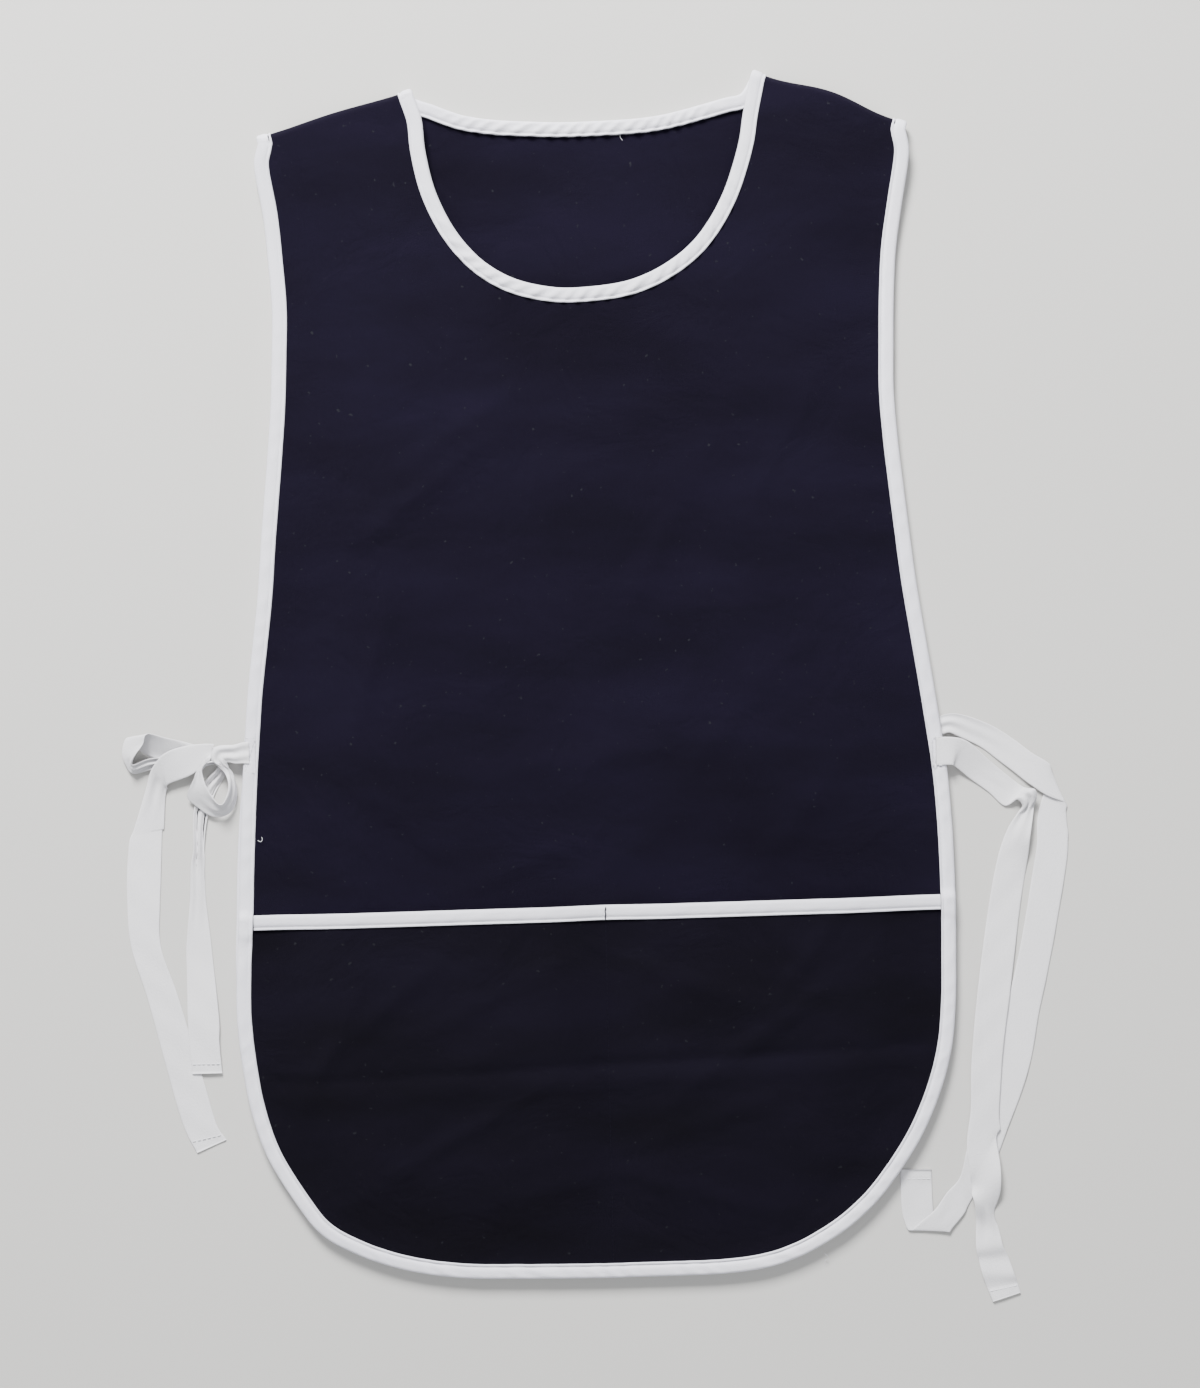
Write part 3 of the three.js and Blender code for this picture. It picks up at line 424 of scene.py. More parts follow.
def back_height(plan):
    """Height of the back's middle layer: it rests on the table and lifts to its binding along every edge."""
    edges = [OUTER_LINE] + [neck_line(half, BACK_NECK, BACK_NECK_DEPTH) for half in SIGN]
    edges += [fold_line(half, 60, 0) for half in SIGN]
    near = np.min([distance_to(plan, edge) for edge in edges], axis=0)
    return BACK_REST + (BACK_EDGE - BACK_REST) * (1 - ease((near - CLOTH_INSET) / RIM))


def arithmetic(tree, operation, *sources):
    """The result of a math node, each of its inputs fed by a number or by another node's output."""
    node = add_node(tree, "ShaderNodeMath", operation=operation)
    for place, source in enumerate(sources):
        if isinstance(source, float):
            node.inputs[place].default_value = source
        else:
            tree.links.new(source, node.inputs[place])
    return node.outputs[0]


def stretched(tree, source, low, high):
    """A factor spread out so that low becomes 0 and high becomes 1."""
    node = add_node(tree, "ShaderNodeMapRange")
    node.inputs["From Min"].default_value = low
    node.inputs["From Max"].default_value = high
    tree.links.new(source, node.inputs["Value"])
    return node.outputs["Result"]


def thread_group():
    """Node group of woven thread seen on a UV map in metres: two crossed rows of threads, a slow unevenness
    of the cloth and specks of lint. It gives a height, a fine shade, slanting streaks of painted sheen and the
    lint."""
    group = bpy.data.node_groups.new("woven threads", "ShaderNodeTree")
    for socket, usual in (("Threads per metre", 1800.0), ("Slub", 0.4), ("Crumple", 1.0)):
        made = group.interface.new_socket(name=socket, in_out="INPUT", socket_type="NodeSocketFloat")
        made.default_value = usual
    for socket in ("Height", "Shade", "Painted sheen", "Lint"):
        group.interface.new_socket(name=socket, in_out="OUTPUT", socket_type="NodeSocketFloat")
    given = add_node(group, "NodeGroupInput").outputs
    end = add_node(group, "NodeGroupOutput")
    where = add_node(group, "ShaderNodeUVMap", uv_map="Cloth").outputs["UV"]
    parts = add_node(group, "ShaderNodeSeparateXYZ")
    group.links.new(where, parts.inputs["Vector"])
    waves = []
    for axis in ("X", "Y"):
        count = arithmetic(group, "MULTIPLY", parts.outputs[axis], given["Threads per metre"])
        waves.append(arithmetic(group, "SINE", arithmetic(group, "MULTIPLY", count, 2 * math.pi)))
    weave = arithmetic(group, "MULTIPLY", arithmetic(group, "MULTIPLY", *waves), 0.12)
    slub = noise(group, where, 700, 3)
    fine = arithmetic(group, "MULTIPLY_ADD", slub, given["Slub"], weave)
    broad = arithmetic(group, "MULTIPLY_ADD", noise(group, where, 16, 4, 0.6), given["Crumple"], fine)
    # Painted sheen: broad slanting streaks of lighter and darker tone, standing in for the gloss that the
    # cloth's folds catch.
    slant = add_node(group, "ShaderNodeMapping")
    slant.inputs["Rotation"].default_value = (0, 0, math.radians(-35))
    slant.inputs["Scale"].default_value = (5, 15, 1)
    group.links.new(where, slant.inputs["Vector"])
    painted_sheen = stretched(group, noise(group, slant.outputs["Vector"], 1.3, 3), 0.32, 0.68)
    lint = stretched(group, noise(group, where, 260, 2), 0.70, 0.76)
    for socket, source in (("Height", broad), ("Shade", slub), ("Painted sheen", painted_sheen), ("Lint", lint)):
        group.links.new(source, end.inputs[socket])
    return group


WOVEN = thread_group()


def cloth_material(name, dark, pale, lint, threads, slub, crumple, depth, roughness, sheen):
    """Cloth of one dye: its base runs from a dark to a pale tone with the threads and with streaks of painted
    sheen, with a little lint on it, and its bump follows threads and crumples. depth is the height of the bump
    in metres."""
    material, shader = plain_material(name, dark, roughness)
    shader.inputs["Sheen Weight"].default_value = sheen
    shader.inputs["Sheen Roughness"].default_value = 0.5
    shader.inputs["Specular IOR Level"].default_value = 0.12
    tree = material.node_tree
    woven = add_node(tree, "ShaderNodeGroup", node_tree=WOVEN)
    woven.inputs["Threads per metre"].default_value = threads
    woven.inputs["Slub"].default_value = slub
    woven.inputs["Crumple"].default_value = crumple
    tone = add_node(tree, "ShaderNodeMix", data_type="RGBA")
    tone.inputs["A"].default_value = (*dark, 1)
    tone.inputs["B"].default_value = (*pale, 1)
    # The real slub tone and the painted sheen, mixed to move the base between its dark and pale tones.
    slub_and_painted_sheen = add_node(tree, "ShaderNodeMix", data_type="FLOAT")
    slub_and_painted_sheen.inputs["Factor"].default_value = 0.6
    tree.links.new(woven.outputs["Shade"], slub_and_painted_sheen.inputs["A"])
    tree.links.new(woven.outputs["Painted sheen"], slub_and_painted_sheen.inputs["B"])
    tree.links.new(slub_and_painted_sheen.outputs["Result"], tone.inputs["Factor"])
    fluff = add_node(tree, "ShaderNodeMix", data_type="RGBA")
    fluff.inputs["B"].default_value = (*lint, 1)
    tree.links.new(woven.outputs["Lint"], fluff.inputs["Factor"])
    tree.links.new(tone.outputs["Result"], fluff.inputs["A"])
    tree.links.new(fluff.outputs["Result"], shader.inputs["Base Color"])
    bump = add_node(tree, "ShaderNodeBump")
    bump.inputs["Distance"].default_value = depth
    bump.inputs["Strength"].default_value = 1
    tree.links.new(woven.outputs["Height"], bump.inputs["Height"])
    tree.links.new(bump.outputs["Normal"], shader.inputs["Normal"])
    return material


NAVY = cloth_material("navy cloth", (0.0020, 0.0010, 0.0052), (0.0064, 0.0042, 0.0150), (0.016, 0.016, 0.022),
                      1900, 0.25, 5.0, 0.0009, 0.9, 0.0)

back = panel("back_panel_cloth", BACK_NECK, BACK_NECK_DEPTH, 0.07, -1, back_height, NAVY)
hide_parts("back_panel")
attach(back, "root")

# The front panel: the same navy cloth with a deep round neck. It lies over the back and is crowned a little
# by the air held between them, with creases from being folded away.
NECK_DEPTH = 131.7 * MM
FRONT_EDGE = 5.7 * MM
CHEST_RISE = 4.1 * MM
SHOULDER_FALL = 80 * MM
CROWN_REACH = 70 * MM
POCKET_DEPTH = 238 * MM
MOUTH = POCKET_DEPTH - HALF_LENGTH
MOUTH_SLOPE = 0.009
SETTLE_REACH = 80 * MM
POCKET_SETTLE = 0.7
# down, left, right: the front neck from the shoulder to the middle, in the same shares.
FRONT_NECK = np.array([
    [0.175, 0.914, 0.975],
    [0.311, 0.899, 0.947],
    [0.463, 0.863, 0.892],
    [0.577, 0.815, 0.836],
    [0.691, 0.745, 0.757],
    [0.79, 0.657, 0.661],
    [0.873, 0.552, 0.537],
    [0.942, 0.412, 0.38],
    [0.983, 0.25, 0.204],
])
# across, up as shares of the half sizes, angle from +X in degrees, length and width in millimetres, and the
# rise as a share of the crease depth.
CREASES = np.array([
    [0.05, -0.14, 4, 320, 34, 0.6],
    [-0.42, 0.36, 38, 150, 30, 0.7],
    [0.35, 0.05, 52, 190, 32, 0.6],
    [-0.3, -0.62, 35, 150, 30, 0.6],
    [0.42, -0.7, -32, 150, 30, 0.6],
    [0, -0.5, -4, 400, 30, 0.7],
    [-0.50, 0.30, 38, 120, 12, 0.9],
    [-0.36, 0.42, 33, 90, 10, 0.8],
    [0.10, -0.12, 8, 180, 12, 0.7],
    [0.52, 0.35, 60, 90, 12, 0.7],
    [0.20, 0.22, 62, 170, 16, 0.8],
    [-0.62, 0.02, 72, 120, 12, 0.8],
    [0.60, -0.22, 52, 110, 12, 0.8],
    [0.42, -0.06, 48, 130, 12, 0.7],
    [-0.18, -0.30, 22, 130, 12, 0.8],
    [-0.55, -0.22, -38, 120, 12, 0.7],
    [0.12, -0.28, 35, 110, 12, 0.6],
])
CREASE_DEPTH = 1.5 * MM


def crease_height(plan, table):
    """Sum of soft ridges: each is a bell along its length and a narrower bell across it."""
    total = np.zeros(plan.shape[:-1])
    for across, up, angle, length, width, rise in table:
        turn = math.radians(angle)
        dx = plan[..., 0] - across * HALF_WIDTH
        dy = plan[..., 1] - up * HALF_LENGTH
        lengthways = (dx * math.cos(turn) + dy * math.sin(turn)) / (length * MM / 2)
        sideways = (dy * math.cos(turn) - dx * math.sin(turn)) / (width * MM / 2)
        total += rise * CREASE_DEPTH * np.exp(-lengthways ** 2 - sideways ** 2)
    return total


def shoulder_lift(y):
    """From 1 at the shoulders to 0 below them, eased over the shoulder's fall."""
    return 1 - ease((SIDE_EDGE[0, 0] * HALF_LENGTH - y) / SHOULDER_FALL)


def front_height(plan):
    """Height of the front's middle layer: from the side binding it rises to the crown, settles where the
    pocket lies, stays up near the shoulders, and carries the creases."""
    inside = distance_to(plan, OUTER_LINE) - RIM
    settled = 1 - POCKET_SETTLE * ease((MOUTH + SETTLE_REACH - plan[..., 1]) / SETTLE_REACH)
    crown = ease(inside / CROWN_REACH) * settled
    rise = 1 - (1 - crown) * (1 - shoulder_lift(plan[..., 1]))
    return FRONT_EDGE + CHEST_RISE * rise + crease_height(plan, CREASES) * ease(inside / RIM / 2)


front = panel("front_panel_cloth", FRONT_NECK, NECK_DEPTH, 0.22, 1, front_height, NAVY)
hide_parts("front_panel")
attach(front, "root")

# The pocket: one piece of the same cloth over the whole lower front, sewn in with the side binding and the
# hem, and sewn down the middle with navy thread into two. It was pressed flat, so a crease runs across it.
POCKET_LIFT = 1.3 * MM
POCKET_GAPE = 7.4 * MM
GAPE_SIDE = 38 * MM
GAPE_HEM = 60 * MM
MOUTH_RISE = 1.3 * MM
MOUTH_REACH = 14 * MM
POCKET_ROWS = 90
POCKET_COLUMNS = 170
POCKET_CREASES = np.array([
    [0.02, -0.640, 2.3, 640, 8, -0.8],
    [0.02, -0.668, 2.3, 640, 12, 0.7],
    [-0.62, -0.55, 40, 110, 12, 0.9],
    [-0.52, -0.80, 32, 90, 12, 0.8],
    [-0.28, -0.52, 25, 130, 14, 0.8],
    [-0.30, -0.72, 28, 120, 12, 0.8],
    [0.24, -0.50, -20, 130, 14, 0.8],
    [0.28, -0.74, 18, 120, 12, 0.8],
    [0.45, -0.60, 35, 120, 12, 0.9],
    [0.60, -0.46, 55, 90, 12, 0.8],
    [-0.10, -0.84, 12, 120, 12, 0.7],
    [0.30, -0.86, -15, 110, 12, 0.7],
    [-0.76, -0.62, 62, 90, 12, 0.8],
])


def pocket_height(plan):
    """Height of the pocket's middle layer: the front's own height and a lift that grows from the sewn sides,
    middle and hem to the gape of the mouth."""
    x, y = plan[..., 0], plan[..., 1]
    left, right = [np.interp(-y, -edge[:, 1], edge[:, 0]) for edge in (OUTER_LEFT, OUTER_RIGHT)]
    side = np.minimum(x - left, right - x) - RIM
    hem = distance_to(plan, OUTER_LINE) - RIM
    ramp = ease(side / GAPE_SIDE) * ease(np.abs(x - SEAM_SHIFT) / GAPE_SIDE) * ease(hem / GAPE_HEM)
    lift = POCKET_LIFT + (POCKET_GAPE - POCKET_LIFT) * ramp
    mouth = ease(1 - (MOUTH + MOUTH_SLOPE * x - y) / MOUTH_REACH) * (1 - ramp) * MOUTH_RISE
    return front_height(plan) + lift + mouth + crease_height(plan, POCKET_CREASES) * ease(hem / RIM)


def below_mouth(name):
    """The outer line of one side from the pocket's mouth down to the hem corner, and the hem, moved in."""
    side, hem = under_binding(name)
    mouth = MOUTH + MOUTH_SLOPE * side[:, 0] - CLOTH_INSET
    kept = side[side[:, 1] < mouth]
    start = [np.interp(-mouth[0], -side[:, 1], side[:, 0]), mouth[0]]
    return np.vstack([start, kept]), hem


# The pocket's navy is a darker, less blue copy of the front's: painted shade for the lower front, which lies
# in less light.
POCKET_NAVY_PAINTED_SHADE = cloth_material("navy pocket cloth in painted shade", (0.0011, 0.0006, 0.0025), (0.0046, 0.0031, 0.0100),
                             (0.012, 0.012, 0.016), 1900, 0.25, 6.0, 0.0009, 0.9, 0.0)
left_below, left_hem = below_mouth("left")
right_below, right_hem = below_mouth("right")
a = np.linspace(0, 1, POCKET_ROWS)[:, None, None]
b = np.linspace(0, 1, POCKET_COLUMNS)[None, :, None]
mouth_line = left_below[0] * (1 - b) + right_below[0] * b
whole_hem = evenly(np.vstack([left_hem, right_hem[::-1][1:]]), b.ravel())[None]
left_edge = evenly(left_below, a.ravel())[:, None]
right_edge = evenly(right_below, a.ravel())[:, None]
pocket_plan = coons(left_edge, right_edge, mouth_line, whole_hem, a, b)
pocket_points = np.dstack([pocket_plan, pocket_height(pocket_plan)])
pocket_faces = quads(np.arange(POCKET_ROWS * POCKET_COLUMNS).reshape(POCKET_ROWS, POCKET_COLUMNS))
pocket = mesh_piece("pocket_cloth", pocket_points.reshape(-1, 3), pocket_faces, pocket_plan.reshape(-1, 2),
                    POCKET_NAVY_PAINTED_SHADE)
thicken(pocket)
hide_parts("pocket")
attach(pocket, "root")

# The neck binding: one strip of white bias tape, folded over the raw edge of the neck and sewn down close to
# its inner edges. Cut on the slant, it puckers in slanting ridges round the scoop and the back of the neck.
BINDING_WIDTH = 9.5 * MM
BINDING_HALF = 1.8 * MM
BINDING_WALL = 0.6 * MM
FOLD_DEPTH = 1.9 * MM
PUCKER_FADE = 3.5 * MM
TABLE_GAP = 0.05 * MM


def running(path):
    """Length run along a path in space up to each of its points."""
    return np.concatenate([[0], np.cumsum(np.linalg.norm(np.diff(path, axis=0), axis=1))])


def respaced(path, up, step, closed):
    """A path and its up directions at even steps of its length."""
    if closed:
        path, up = np.vstack([path, path[:1]]), np.vstack([up, up[:1]])
    run = running(path)
    count = int(round(run[-1] / step))
    at = np.linspace(0, run[-1], count + 1)[: count if closed else None]
    return at_run(path, run, at), unit(at_run(up, run, at)), at


def smoothed(values, reach, closed):
    """A running mean over a few neighbours each way, wrapped round on a closed path."""
    kernel = np.ones(2 * reach + 1) / (2 * reach + 1)
    padded = np.pad(values, ((reach, reach), (0, 0)), mode="wrap" if closed else "edge")
    return np.stack([np.convolve(column, kernel, mode="valid") for column in padded.T], axis=1)


def inward_of(path, up, side, closed):
    """Unit way into the cloth at each point: across the path and across its up direction."""
    if closed:
        along = np.roll(path, -1, axis=0) - np.roll(path, 1, axis=0)
    else:
        along = np.gradient(path, axis=0)
    return unit(smoothed(np.cross(up, along) * side, 2, closed))


def straight_up(count):
    """The same upward direction, a number of times."""
    return np.tile([0.0, 0.0, 1.0], (count, 1))


def closed_ends(faces, rows, columns):
    """The faces of a band with its two ends closed by quads between its upper and its lower side."""
    ring = np.arange(columns // 2 - 1)
    cap = np.stack([ring, ring + 1, columns - 2 - ring, columns - 1 - ring], axis=1)
    return np.vstack([faces, cap[:, ::-1], cap + (rows - 1) * columns])


def folded_band(name, path, up, inward, run, lift, pucker, material, closed):
    """A binding carried along a path. Its section is a strip folded over the edge: a lower leaf, a round fold
    and an upper leaf raised by a lift, each leaf dipping at its stitched line. pucker(run, depth) is added to
    the leaves. The strip has an outer and an inner face, joined along its two edges."""
    leaf = BINDING_WIDTH * np.array([1.0, 0.96, 0.88, 0.82, 0.76, 0.62, 0.46, 0.3, 0.2])
    press = np.array([0.45, 0.85, 0.7, 0.25, 0.65, 0.95, 1.0, 1.0, 1.0])
    turn = np.linspace(-math.pi / 2, math.pi / 2, 7)[1:-1]
    depth = np.concatenate([leaf, FOLD_DEPTH * (1 - np.cos(turn)), leaf[::-1]])
    high = np.concatenate([-press, np.sin(turn), press[::-1]])
    upper = np.concatenate([np.zeros(leaf.size), (np.sin(turn) + 1) / 2, np.ones(leaf.size)])
    ridge = pucker(run[:, None], depth[None, :]) * np.clip(np.abs(high), 0, 1) * ease(depth / PUCKER_FADE)
    level = high * BINDING_HALF + upper * lift[:, None] + ridge * np.sign(high)
    inside = np.clip(depth, BINDING_WALL, None)
    below = level - np.sign(high) * np.minimum(BINDING_WALL, np.abs(high) * BINDING_HALF)
    depth = np.broadcast_to(depth, level.shape)
    inside = np.broadcast_to(inside, level.shape)
    depth = np.concatenate([depth, inside[:, ::-1]], axis=1)
    level = np.concatenate([level, below[:, ::-1]], axis=1)
    points = path[:, None] + inward[:, None] * depth[..., None] + up[:, None] * level[..., None]
    points[..., 2] = np.maximum(points[..., 2], TABLE_GAP)
    rows, columns = depth.shape
    faces = quads(np.arange(rows * columns).reshape(rows, columns), closed, True)
    if not closed:
        faces = closed_ends(faces, rows, columns)
    uv = np.dstack([np.broadcast_to(run[:, None], depth.shape), depth + level]).reshape(-1, 2)
    return mesh_piece(name, points.reshape(-1, 3), faces, uv, material)


def loop_path(front_curve, front_high, back_curve, back_high, at_neck):
    """Path of a binding that runs round both layers: the front edge from left to right, the right shoulder's
    fold, the back edge from right to left and the left shoulder's fold, with the way up off the cloth."""
    def fold(name):
        """Half a turn round the shoulder's fold, from the front to the back, and its ways up."""
        tip, neck, along, out = shoulder(name)
        angle = np.linspace(math.pi / 2, -math.pi / 2, 13)[1:-1, None]
        at = neck if at_neck else tip
        plan = at + out * FOLD_RADIUS * (np.cos(angle) - 1)
        path = np.hstack([plan, FOLD_HEIGHT + FOLD_RADIUS * np.sin(angle)])
        return path, np.hstack([out * np.cos(angle), np.sin(angle)])

    right, right_up = fold("right")
    left, left_up = fold("left")
    above = straight_up(len(front_curve))
    under = -straight_up(len(back_curve))
    path = np.vstack([np.column_stack([front_curve, front_high]), right,
                      np.column_stack([back_curve[::-1], back_high[::-1]]), left[::-1]])
    return path, np.vstack([above, right_up, under, left_up[::-1]])


def both_halves(line):
    """A curve of both halves from the left shoulder to the right one, even along its length."""
    whole = np.vstack([line("left"), line("right")[::-1][1:]])
    return evenly(whole, np.linspace(0, 1, max(60, int(plan_length(whole) / (2 * MM)))))


def slanting(start, stop, spacing, height, slant=1.0):
    """A pucker function: slanting ridges between two lengths of run, unevenly spaced, fading at both ends."""
    def ridges(run, depth):
        """Height of the ridges at a length of run and a depth in from the fold: a sine, cut off below."""
        middle = np.clip((run - start) / (stop - start), 0, 1)
        window = ease(middle * 6) * ease((1 - middle) * 6)
        wander = 0.35 * np.sin(run * 41) + 0.2 * np.sin(run * 97 + 1)
        wave = np.sin(2 * math.pi * ((run + slant * depth) / spacing + wander))
        return height * window * np.clip(wave, -0.3, 1)

    return ridges


def all_of(*parts):
    """The sum of several pucker functions."""
    return lambda run, depth: sum(part(run, depth) for part in parts)


WHITE = cloth_material("white bias tape", (0.80, 0.79, 0.87), (0.90, 0.89, 0.95), (0.82, 0.82, 0.84),
                       2200, 0.25, 0.35, 0.0005, 0.85, 0.05)

front_neck = both_halves(lambda half: neck_line(half, FRONT_NECK, NECK_DEPTH))
back_neck = both_halves(lambda half: neck_line(half, BACK_NECK, BACK_NECK_DEPTH))
neck_path, neck_up = loop_path(front_neck, np.full(len(front_neck), CHEST),
                               back_neck, np.full(len(back_neck), BACK_EDGE), True)
neck_path, neck_up, neck_run = respaced(neck_path, neck_up, 1.6 * MM, True)
neck_inward = inward_of(neck_path, neck_up, -1, True)
scoop = plan_length(front_neck)
whole = running(neck_path)[-1]
neck_pucker = all_of(slanting(scoop * 0.16, scoop * 0.86, 10.5 * MM, 1.0 * MM),
                     slanting(0, whole, 17 * MM, 0.35 * MM),
                     slanting(scoop + 30 * MM, whole - 20 * MM, 9.5 * MM, 1.0 * MM, -1.0))
neck_band = folded_band("neck_binding_tape", neck_path, neck_up, neck_inward, neck_run,
                        np.zeros(len(neck_run)), neck_pucker, WHITE, True)
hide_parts("neck_binding")
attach(neck_band, "root")

# The edge binding: one long strip of the same tape round the sides, the hems and the shoulder ends of both
# layers. Below the pocket's mouth it takes in the pocket's edge as well, so it stands a little thicker there.
# At the lower left the back's edge peeps out beside the front's.
PEEP_OUT = 1.9 * MM
PEEP_DOWN = 125 * MM
PEEP_REACH = 62 * MM
outer = both_halves(half_line)
outer_high = FRONT_EDGE + CHEST_RISE * shoulder_lift(outer[:, 1])
beside = PEEP_OUT * np.exp(-((outer[:, 1] + PEEP_DOWN) / PEEP_REACH) ** 4) * (outer[:, 0] < 0)
under = outer - np.column_stack([beside, np.zeros(len(outer))])
edge_path, edge_up = loop_path(outer, outer_high, under, np.full(len(outer), BACK_EDGE), False)
edge_path, edge_up, edge_run = respaced(edge_path, edge_up, 2.0 * MM, True)
edge_inward = inward_of(edge_path, edge_up, 1, True)
down = MOUTH + MOUTH_SLOPE * edge_path[:, 0] - edge_path[:, 1]
over_pocket = ease((down + 4 * MM) / (6 * MM)) * POCKET_LIFT
over_mouth = ease((down + 3 * MM) / (5 * MM)) * (1 - ease((down - 11 * MM) / (6 * MM))) * MOUTH_RISE
edge_lift = (over_pocket + over_mouth) * (edge_up[:, 2] > 0.9)
around = plan_length(outer)
side_run = plan_length(side_line("left"))
edge_pucker = all_of(slanting(0, around, 19 * MM, 0.35 * MM),
                     slanting(side_run, around - side_run, 14 * MM, 0.4 * MM),
                     slanting(side_run * 0.80, side_run * 0.86, 8 * MM, 0.3 * MM),
                     slanting(around - side_run * 0.88, around - side_run * 0.82, 8 * MM, 0.3 * MM))
edge_band = folded_band("edge_binding_tape", edge_path, edge_up, edge_inward, edge_run, edge_lift,
                        edge_pucker, WHITE, True)
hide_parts("edge_binding")
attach(edge_band, "root")

# The pocket's binding: a straight length of the same tape over the top edge of the pocket. Its ends butt
# against the side bindings, and the navy thread of the middle seam crosses it.
BUTT_GAP = 0.4 * MM
mouth_left = left_below[0] + np.array([BINDING_WIDTH + BUTT_GAP - CLOTH_INSET, CLOTH_INSET])
mouth_right = right_below[0] + np.array([-BINDING_WIDTH - BUTT_GAP + CLOTH_INSET, CLOTH_INSET])
share = np.linspace(0, 1, 240)[:, None]
mouth_plan = mouth_left * (1 - share) + mouth_right * share
below = mouth_plan - np.array([0, 5 * MM])
mouth_path = np.column_stack([mouth_plan, pocket_height(below)])
mouth_path, mouth_up, mouth_run = respaced(mouth_path, straight_up(len(mouth_path)), 1.6 * MM, False)
mouth_inward = inward_of(mouth_path, mouth_up, -1, False)
mouth_pucker = slanting(0, mouth_run[-1], 24 * MM, 0.2 * MM)
mouth_band = folded_band("pocket_binding_tape", mouth_path, mouth_up, mouth_inward, mouth_run,
                         np.zeros(len(mouth_run)), mouth_pucker, WHITE, False)
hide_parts("pocket_binding")
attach(mouth_band, "root")

# The ties: four lengths of woven white cotton tape with a small hem at each free end. The left pair is tied
# in a bow: one tape makes the lower loop and wraps the knot, the other makes the loop to the left.
TIE_LENGTH = 400 * MM
TIE_WIDTH = 20 * MM
TAPE = 0.8 * MM
HEM_LENGTH = 7 * MM
GATHER = 2.7 * MM
# x, y of the tape's middle from its root as shares of its length; rise as a share of its width; the share of
# the root's height that is added; direction across it in degrees; the width seen along it; slope in degrees.
RIGHT_FRONT_TIE = np.array([
    [0, 0, 0, 1, 90, 0.89, 0],
    [0.0255, -0.0005, 0, 1, 90, 0.89, 0],
    [0.043, -0.0065, 0, 0.6, 54, 0.89, 0],
    [0.0715, -0.031, 0, 0.12, 44, 0.85, 0],
    [0.1, -0.054, 0, 0, 41, 0.81, 0],
    [0.125, -0.075, 0.03, 0, 44, 0.85, 0],
    [0.1415, -0.072, 0.3, 0, 32, 0.67, 16],
    [0.149, -0.0845, 0.25, 0, 30, 0.55, 10],
    [0.1425, -0.0985, 0.12, 0, 20, 0.58, 8],
    [0.13, -0.135, 0.14, 0, -8, 0.78, 18],
    [0.119, -0.184, 0.02, 0, 3, 0.99, 0],
    [0.105, -0.259, 0, 0, 7, 1.04, 0],
    [0.0865, -0.383, 0.075, 0, -1, 1.04, 0],
    [0.073, -0.489, 0.09, 0, 8, 1, 0],
    [0.067, -0.584, 0.085, 0, -8, 0.93, 0],
    [0.063, -0.644, 0.09, 0, 50, 1.36, 0],
    [0.067, -0.6895, 0.17, 0, 21, 1, 18],
    [0.063, -0.7275, 0.12, 0, -28, 0.8, -18],
    [0.068, -0.76, 0, 0, -18, 0.77, 0],
    [0.07, -0.792, 0.08, 0, 5, 0.86, 0],
    [0.0765, -0.812, 0, 0, 3, 0.95, 0],
    [0.083, -0.836, 0.07, 0, -1, 1.03, 0],
    [0.0895, -0.855, 0, 0, 9, 0.98, 0],
    [0.096, -0.874, 0.02, 0, 17, 0.93, 0],
])
RIGHT_BACK_TIE = np.array([
    [0, 0, 0, 1, 97, 0.6, 0],
    [0.018, 0.0035, 0, 1, 76, 0.64, 0],
    [0.0435, -0.005, 0, 0.5, 58, 0.74, 0],
    [0.075, -0.02, 0, 0, 54, 0.78, 0],
    [0.104, -0.041, 0.01, 0, 49, 0.83, 0],
    [0.1345, -0.065, 0.06, 0, 50, 0.84, 0],
    [0.165, -0.087, 0.09, 0, 78, 0.98, 0],
    [0.184, -0.1, 0.045, 0, 113, 1.18, 0],
    [0.181, -0.124, 0, 0, 133, 0.98, 0],
    [0.176, -0.155, 0, 0, 158, 1, 0],
    [0.175, -0.187, 0, 0, 186, 1, 0],
    [0.17, -0.227, 0, 0, 179, 1.04, 0],
    [0.151, -0.329, 0, 0, 174, 1.02, 0],
    [0.1365, -0.3955, 0, 0, 170, 1.03, 0],
    [0.12, -0.463, 0, 0, 169, 1.06, 0],
    [0.109, -0.526, 0, 0, 161, 1.03, 0],
    [0.0925, -0.581, 0, 0, 161, 1, 0],
    [0.0715, -0.632, 0, 0, 156, 1, 0],
    [0.052, -0.681, 0, 0, 151, 1, 0],
    [0.024, -0.7395, 0, 0, 112, 0.85, 0],
    [0.0065, -0.763, 0.04, 0, 128, 0.86, 0],
    [-0.016, -0.79, 0.08, 0, 140, 0.82, 0],
    [-0.036, -0.805, 0.045, 0, 178, 1.15, 0],
    [-0.05, -0.79, 0, 0, 180, 1, 0],
    [-0.054, -0.766, 0, 0, 179, 1, 0],
    [-0.055, -0.7075, 0, 0, 179, 1, 0],
])
